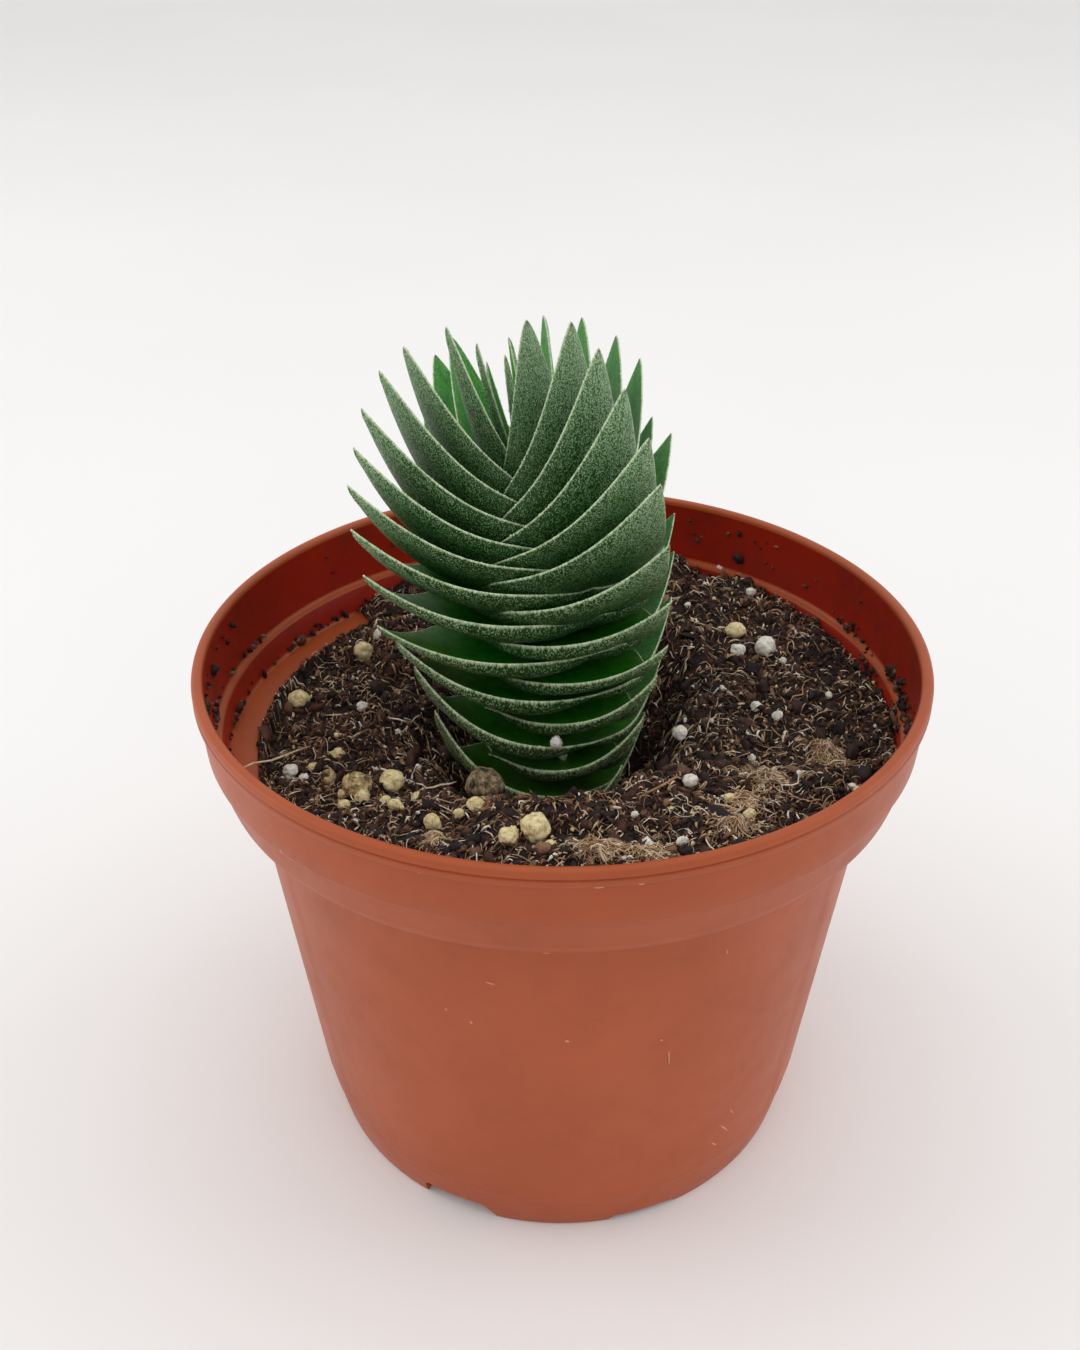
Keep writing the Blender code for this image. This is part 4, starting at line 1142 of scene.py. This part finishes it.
def build_leaves(inner_face, outer_face):
    """All pairs as one mesh, with what the finishes need to know at each point, and the pairs themselves."""
    growth = random.Random(GROWTH_SEED)
    angles = pair_angles()
    count = len(angles)
    shares = np.array(LEAF_RINGS)
    points, faces, slots = [], [], []
    layers = {"margin": [], "tip": [], "age": [], "leaf_place": []}
    pairs = []
    start = 0
    for age in range(YOUNGEST, OLDEST + 1):
        pair = LeafPair(age, growth)
        pairs.append(pair)
        share, angle = np.meshgrid(shares, angles, indexing="ij")
        top = pair.upper(share, angle)
        margin = pair.to_margin(share, angle)
        inward = 1 - np.exp(-margin / MARGIN_TAPER)
        thickness = MARGIN_THICKNESS + (LEAF_THICKNESS - MARGIN_THICKNESS) * inward
        # Old leaves have a fuller edge between tip and waist
        aged = OLD_MARGIN_THICKNESS * np.interp(age, THICKENING_AGES, (0, 1)) * np.abs(np.sin(2 * angle))
        thickness += aged * (1 - np.exp(-margin / OLD_MARGIN_TAPER))
        low = top - pair.normal(share, angle) * thickness[..., None]
        tips = pair.upper(1.0, np.array([0.0, math.pi]))
        tip = np.minimum(*(np.linalg.norm(top - place, axis=-1) for place in tips))
        steps = np.linalg.norm(np.diff(top, axis=0), axis=-1)
        arc = np.concatenate([np.full((1, count), LEAF_START_RADIUS), steps]).cumsum(0)
        along = np.full(arc.shape, age * PATTERN_STEP)
        place = np.stack([arc * np.cos(angle), arc * np.sin(angle), along], -1)
        bulge = (top[-1] + low[-1]) / 2
        outward = top[-1] - top[-2]
        outward /= np.linalg.norm(outward, axis=-1, keepdims=True)
        bulge += outward * MARGIN_THICKNESS * MARGIN_BULGE
        grid = np.concatenate([top, bulge[None], low[::-1]])
        points.append(grid.reshape(-1, 3))
        layers["margin"].append(np.concatenate([margin, np.zeros((1, count)), margin[::-1]]).ravel() / MM)
        layers["tip"].append(np.concatenate([tip, tip[-1:], tip[::-1]]).ravel() / MM)
        layers["age"].append(np.full(grid.shape[0] * count, age))
        layers["leaf_place"].append(np.concatenate([place, place[-1:], place[::-1]]).reshape(-1, 3))
        rings = len(grid)
        for ring in range(rings - 1):
            a = start + ring * count + np.arange(count)
            b = start + ring * count + (np.arange(count) + 1) % count
            faces.append(np.column_stack([a, a + count, b + count, b]))
            slots.append(np.full(count, int(ring >= len(shares))))
        start += rings * count
    leaves = add_piece(
        "crassula_leaves", np.concatenate(points), np.concatenate(faces), [inner_face, outer_face],
        np.concatenate(slots), {name: np.concatenate(values) for name, values in layers.items()},
    )
    leaves.data.set_sharp_from_angle(angle=LEAF_SMOOTH_ANGLE)
    return leaves, pairs


# Leaf skin: waxy and smooth inside, where the next leaves press on it, and deep green. Light goes a
# little way into it, so thin edges glow.
def leaf_skin(name, roughness):
    """A leaf material, its shader, and what it reads from the mesh."""
    made, shader = new_material(name, IOR=1.42, Roughness=roughness, Subsurface_Weight=0.12)
    shader.inputs["Subsurface Radius"].default_value = (0.35, 0.8, 0.15)
    shader.inputs["Subsurface Scale"].default_value = 0.8 * MM
    reads = {}
    for layer in ("margin", "tip", "age"):
        reads[layer] = add_node(made, "ShaderNodeAttribute", {"attribute_name": layer}, {}).outputs["Fac"]
    place = add_node(made, "ShaderNodeAttribute", {"attribute_name": "leaf_place"}, {}).outputs["Vector"]
    return made, shader, reads, place


def finish_leaf(made, shader, reads, place, colour, height, depth):
    """Adds what both faces share: dried old leaves, brown tips and the pale margin, and the bump."""
    patches = add_node(
        made, "ShaderNodeTexNoise",
        {"Scale": 1 / (2.2 * MM), "Detail": 6.0, "Roughness": 0.7}, {"Vector": place},
    ).outputs["Fac"]
    old = add_node(
        made, "ShaderNodeMapRange",
        {"From Min": 19.5, "From Max": 24.0, "To Max": 0.95}, {"Value": reads["age"]},
    )
    dry_patch = add_node(
        made, "ShaderNodeMath", {"operation": "MULTIPLY_ADD", 1: 1.6, "use_clamp": True, 2: -0.25},
        {0: patches},
    )
    dryness = add_node(
        made, "ShaderNodeMath", {"operation": "MULTIPLY", "use_clamp": True},
        {0: old.outputs["Result"], 1: dry_patch.outputs["Value"]},
    )
    dried = add_node(
        made, "ShaderNodeMix", {"data_type": "RGBA", 7: srgb("4A3D28")},
        {0: dryness.outputs["Value"], 6: colour},
    )
    near_tip = add_node(
        made, "ShaderNodeMapRange", {"From Min": 0.7, "From Max": 0.15}, {"Value": reads["tip"]}
    )
    tipped = add_node(
        made, "ShaderNodeMix", {"data_type": "RGBA", 7: srgb("5B3A3C")},
        {0: near_tip.outputs["Result"], 6: dried.outputs[2]},
    )
    # The margin's clear beads are about 0.15 mm; they are drawn at 0.3 mm so that they show
    beads = add_node(
        made, "ShaderNodeTexVoronoi", {"Scale": 1 / (0.3 * MM), "Randomness": 0.8}, {"Vector": place}
    )
    wander = add_node(
        made, "ShaderNodeMath", {"operation": "MULTIPLY_ADD", 1: 0.22},
        {0: beads.outputs["Distance"], 2: reads["margin"]},
    )
    at_margin = add_node(
        made, "ShaderNodeMapRange", {"From Min": 0.24, "From Max": 0.08},
        {"Value": wander.outputs["Value"]},
    )
    edged = add_node(
        made, "ShaderNodeMix", {"data_type": "RGBA", 7: srgb("C9DAB2")},
        {0: at_margin.outputs["Result"], 6: tipped.outputs[2]},
    )
    link(made, edged.outputs[2], shader, "Base Color")
    bump = add_node(made, "ShaderNodeBump", {"Strength": 0.8, "Distance": depth}, {"Height": height})
    link(made, bump.outputs["Normal"], shader, "Normal")


inner_leaf, inner_shader, inner_reads, inner_place = leaf_skin("waxy_inner_leaf_face", 0.42)
inner_veins = add_node(
    inner_leaf, "ShaderNodeTexNoise", {"Scale": 1 / (1.5 * MM), "Detail": 5.0, "Roughness": 0.6},
    {"Vector": inner_place},
).outputs["Fac"]
inner_colour = add_node(
    inner_leaf, "ShaderNodeValToRGB",
    {"stops": ((0.3, "0C6406"), (0.5, "1A820A"), (0.7, "349014"))}, {"Fac": inner_veins},
)
# A few papillae also stand on the inner face, within about 2 mm of the margin
inner_dots = add_node(
    inner_leaf, "ShaderNodeTexVoronoi",
    {"Scale": 1 / (0.27 * MM), "Randomness": 1.0}, {"Vector": inner_place},
)
inner_reach = add_node(
    inner_leaf, "ShaderNodeMapRange", {"From Min": 0.2, "From Max": 2.2, "To Min": 0.42, "To Max": 0.1},
    {"Value": inner_reads["margin"]},
)
inner_speckle = add_node(
    inner_leaf, "ShaderNodeMath", {"operation": "LESS_THAN"},
    {0: inner_dots.outputs["Distance"], 1: inner_reach.outputs["Result"]},
)
inner_share = add_node(
    inner_leaf, "ShaderNodeMath", {"operation": "MULTIPLY", 1: 0.55}, {0: inner_speckle.outputs["Value"]}
)
inner_dotted = add_node(
    inner_leaf, "ShaderNodeMix", {"data_type": "RGBA", 7: srgb("8FA878")},
    {0: inner_share.outputs["Value"], 6: inner_colour.outputs["Color"]},
)
finish_leaf(
    inner_leaf, inner_shader, inner_reads, inner_place, inner_dotted.outputs[2], inner_veins, 0.05 * MM
)

# Outer leaf face: grey-green, from dense clear papillae that stand over dark green. The papillae are about
# 0.15 mm apart; they are drawn at about 0.2 mm so that they show.
outer_leaf, outer_shader, outer_reads, outer_place = leaf_skin("papillose_outer_leaf_face", 0.5)
papilla_field = add_node(
    outer_leaf, "ShaderNodeTexVoronoi",
    {"Scale": 1 / (0.21 * MM), "Randomness": 1.0}, {"Vector": outer_place},
)
papilla_tops = add_node(
    outer_leaf, "ShaderNodeMapRange", {"From Min": 0.62, "From Max": 0.12},
    {"Value": papilla_field.outputs["Distance"]},
).outputs["Result"]
# Papillae stand in rows along the leaf, so that darker streaks run towards the tip
outer_rows = add_node(outer_leaf, "ShaderNodeMapping", {"Scale": (0.35, 1.0, 1.0)}, {"Vector": outer_place})
outer_patches = add_node(
    outer_leaf, "ShaderNodeTexNoise", {"Scale": 1 / (0.5 * MM), "Detail": 6.0, "Roughness": 0.8},
    {"Vector": outer_rows.outputs["Vector"]},
).outputs["Fac"]
outer_speckle = add_node(
    outer_leaf, "ShaderNodeMath", {"operation": "MULTIPLY_ADD", 1: 0.6},
    {0: papilla_tops, 2: outer_patches},
)
# Papillae are densest near the tip, and sparse low on the leaf
outer_density = add_node(
    outer_leaf, "ShaderNodeMapRange", {"From Min": 2.0, "From Max": 17.0, "To Min": 0.08, "To Max": -0.24},
    {"Value": outer_reads["tip"]},
)
outer_mix = add_node(
    outer_leaf, "ShaderNodeMath", {"operation": "ADD"},
    {0: outer_speckle.outputs["Value"], 1: outer_density.outputs["Result"]},
)
outer_colour = add_node(
    outer_leaf, "ShaderNodeValToRGB",
    {"stops": ((0.4, "1E4014"), (0.58, "507844"), (0.78, "86A47A"), (1.0, "B4C8A6"))},
    {"Fac": outer_mix.outputs["Value"]},
)
finish_leaf(
    outer_leaf, outer_shader, outer_reads, outer_place, outer_colour.outputs["Color"], papilla_tops,
    0.09 * MM,
)

crassula_leaves, leaf_pairs = build_leaves(inner_leaf, outer_leaf)
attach(crassula_leaves, BODY)
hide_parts("crassula")

# Stem: a short woody shoot, which the leaf pairs clasp and which stands in the mix. It is green-brown and
# shows only at the plant's foot.
STEM_SWELL = 0.05
STEM_SWELL_STEP = 2.1
stem_skin, stem_shader = new_material("woody_succulent_stem", IOR=1.45, Roughness=0.7)
stem_place = add_node(stem_skin, "ShaderNodeTexCoord", {}, {}).outputs["Object"]
stem_noise = add_node(
    stem_skin, "ShaderNodeTexNoise", {"Scale": 1 / (1.2 * MM), "Detail": 6.0}, {"Vector": stem_place}
)
stem_colour = add_node(
    stem_skin, "ShaderNodeValToRGB", {"stops": ((0.35, "2A2415"), (0.6, "4E4B2A"))},
    {"Fac": stem_noise.outputs["Fac"]},
)
link(stem_skin, stem_colour.outputs["Color"], stem_shader, "Base Color")
stem_bump = add_node(
    stem_skin, "ShaderNodeBump", {"Strength": 0.6, "Distance": 0.2 * MM},
    {"Height": stem_noise.outputs["Fac"]},
)
link(stem_skin, stem_bump.outputs["Normal"], stem_shader, "Normal")
stem_points, stem_faces = [], []
for ring in range(STEM_RINGS + 1):
    share = ring / STEM_RINGS
    place = stem_frame(STEM_BOTTOM + (STEM_TOP - STEM_BOTTOM) * share)[0]
    radius = STEM_RADII[0] + (STEM_RADII[1] - STEM_RADII[0]) * share
    radius *= 1 + STEM_SWELL * math.sin(ring * STEM_SWELL_STEP)
    turns = np.arange(STEM_SIDES) * TURN / STEM_SIDES
    ring_offsets = np.column_stack([np.cos(turns), np.sin(turns), 0 * turns]) * radius
    stem_points += (place + ring_offsets).tolist()
    if ring < STEM_RINGS:
        for i in range(STEM_SIDES):
            k = (i + 1) % STEM_SIDES
            low = ring * STEM_SIDES
            stem_faces.append((low + i, low + k, low + k + STEM_SIDES, low + i + STEM_SIDES))
stem_faces += [list(range(STEM_SIDES))[::-1], list(range(STEM_RINGS * STEM_SIDES, len(stem_points)))]
crassula_stem = add_piece("crassula_stem", stem_points, stem_faces, [stem_skin])
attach(crassula_stem, BODY)

# Margin papillae: clear outgrowths of the leaf's skin, full of water. A row of these beads stands along
# every leaf margin and catches the light.
BEAD_SPACING = 0.48 * MM
BEAD_JITTER = 0.4
BEAD_RADIUS = (0.065 * MM, 0.3)
# Beads stand under the upper edge, by this share of the margin's thickness
BEAD_DEPTH = 0.2
MARGIN_STEPS = 1440
bead_skin, bead_shader = new_material(
    "clear_margin_papillae", IOR=1.42, Roughness=0.3, Subsurface_Weight=0.3
)
bead_shader.inputs["Subsurface Scale"].default_value = 0.3 * MM
bead_place = add_node(bead_skin, "ShaderNodeTexCoord", {}, {}).outputs["Object"]
bead_noise = add_node(
    bead_skin, "ShaderNodeTexNoise", {"Scale": 1 / (1.5 * MM), "Detail": 3.0}, {"Vector": bead_place}
)
bead_colour = add_node(
    bead_skin, "ShaderNodeValToRGB", {"stops": ((0.35, "A9BF92"), (0.6, "E0EACB"))},
    {"Fac": bead_noise.outputs["Fac"]},
)
link(bead_skin, bead_colour.outputs["Color"], bead_shader, "Base Color")
bead_spots = []
for pair in leaf_pairs:
    fine_angles = np.linspace(0, TURN, MARGIN_STEPS)
    line = pair.upper(1.0, fine_angles)
    line -= pair.normal(1.0, fine_angles) * MARGIN_THICKNESS * BEAD_DEPTH
    lengths = np.concatenate([[0], np.linalg.norm(np.diff(line, axis=0), axis=1).cumsum()])
    stops = np.arange(0, lengths[-1], BEAD_SPACING)
    stops += grain_dice.uniform(-BEAD_JITTER, BEAD_JITTER, len(stops)) * BEAD_SPACING
    bead_spots.append(np.column_stack([np.interp(stops, lengths, line[:, axis]) for axis in range(3)]))
bead_spots = np.concatenate(bead_spots)
bead_sizes = log_sizes(len(bead_spots), BEAD_RADIUS)
bead_grains = grains(bead_spots, bead_sizes, stretch=0.15, roughness=0.05, subdivisions=1)
bead_piece = toned_piece("margin_papillae", [(*bead_grains, np.zeros(len(bead_spots)))], bead_skin)
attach(bead_piece, BODY)

# Two granules on leaves: expanded perlite, as in the mix. They lie loose on old leaves, and their middle
# is over the leaf by GRANULE_REST of their width.
GRANULE_REST = 0.4
# A place over the leaf and the diameter, in millimetres
LEAF_GRANULES = ((0.2, -1.4, 51.0, 1.5), (-0.5, -6.9, 61.5, 1.5))
leaf_bed = BVHTree.FromObject(crassula_leaves, bpy.context.evaluated_depsgraph_get())
granule_spots = []
for *over, width in LEAF_GRANULES:
    landed = leaf_bed.ray_cast(Vector(over) * MM, Vector((0, 0, -1)))[0]
    granule_spots.append(landed + Vector((0, 0, width * MM * GRANULE_REST)))
granule_sizes = np.array([width for *_, width in LEAF_GRANULES]) * MM / 2
granule_grains = grains(
    np.array(granule_spots), granule_sizes, stretch=0.12, roughness=0.16, subdivisions=3
)
granule_tones = np.zeros(len(granule_spots))
leaf_granules = toned_piece("leaf_granules", [(*granule_grains, granule_tones)], perlite_froth)
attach(leaf_granules, BODY)

# Stage: a plain table top in matt pale paint, under soft studio light. The camera has the place and lens
# that were fitted to the photograph.
FLOOR_HALF = 3.0
# The paint's faint patches are about 17 cm wide
FLOOR_PATCH = 1 / 6
floor_paint, floor_shader = new_material("matt_pale_table_top", IOR=1.45, Roughness=0.7)
floor_place = add_node(floor_paint, "ShaderNodeTexCoord", {}, {}).outputs["Object"]
floor_mottle = add_node(
    floor_paint, "ShaderNodeTexNoise", {"Scale": 1 / FLOOR_PATCH, "Detail": 3.0}, {"Vector": floor_place}
)
floor_colour = add_node(
    floor_paint, "ShaderNodeValToRGB", {"stops": ((0.3, "F2F1F0"), (0.7, "F5F4F3"))},
    {"Fac": floor_mottle.outputs["Fac"]},
)
link(floor_paint, floor_colour.outputs["Color"], floor_shader, "Base Color")
corners = [(x * FLOOR_HALF, y * FLOOR_HALF, 0) for x, y in ((-1, -1), (1, -1), (1, 1), (-1, 1))]
table_top = add_piece("table_top", corners, [(0, 1, 2, 3)], [floor_paint])

# Softboxes: place, size and power. White walls all round give most of the light, and these shape it.
SOFTBOXES = (
    ("overhead", (0.05, -0.05, 0.75), 0.9, 0.9),
    ("left", (-0.65, 0.1, 0.35), 0.5, 1.1),
    ("right", (0.65, 0.1, 0.35), 0.5, 0.9),
)
LOOK_AT = Vector((0, 0, 0.05))
for name, place, size, power in SOFTBOXES:
    lamp = bpy.data.lights.new(name, "AREA")
    lamp.energy = power
    lamp.size = size
    box = bpy.data.objects.new(name, lamp)
    box.location = place
    box.rotation_euler = (LOOK_AT - Vector(place)).to_track_quat("-Z", "Y").to_euler()
    bpy.context.scene.collection.objects.link(box)

# The walls: an even white light from all round
SKY_STRENGTH = 0.80
sky = bpy.data.worlds.new("studio")
sky.use_nodes = True
sky.node_tree.nodes["Background"].inputs["Color"].default_value = srgb("FFFFFF")
sky.node_tree.nodes["Background"].inputs["Strength"].default_value = SKY_STRENGTH
bpy.context.scene.world = sky
bpy.context.scene.view_settings.view_transform = "Standard"

# In metres, and in pixels of the 1080 x 1350 frame
CAMERA_PLACE = (0, -0.1490, 0.15285)
CAMERA_TILT = (math.radians(58.21), math.radians(0.22), math.radians(0.81))
PHOTO_HEIGHT = 1350
FOCAL_PIXELS = 1479
SENSOR = 36
CLIP_START = 0.01
lens = bpy.data.cameras.new("camera")
lens.sensor_width = SENSOR
lens.lens = FOCAL_PIXELS / PHOTO_HEIGHT * SENSOR
lens.clip_start = CLIP_START
camera = bpy.data.objects.new("camera", lens)
camera.location = CAMERA_PLACE
camera.rotation_euler = CAMERA_TILT
bpy.context.scene.collection.objects.link(camera)
bpy.context.scene.camera = camera
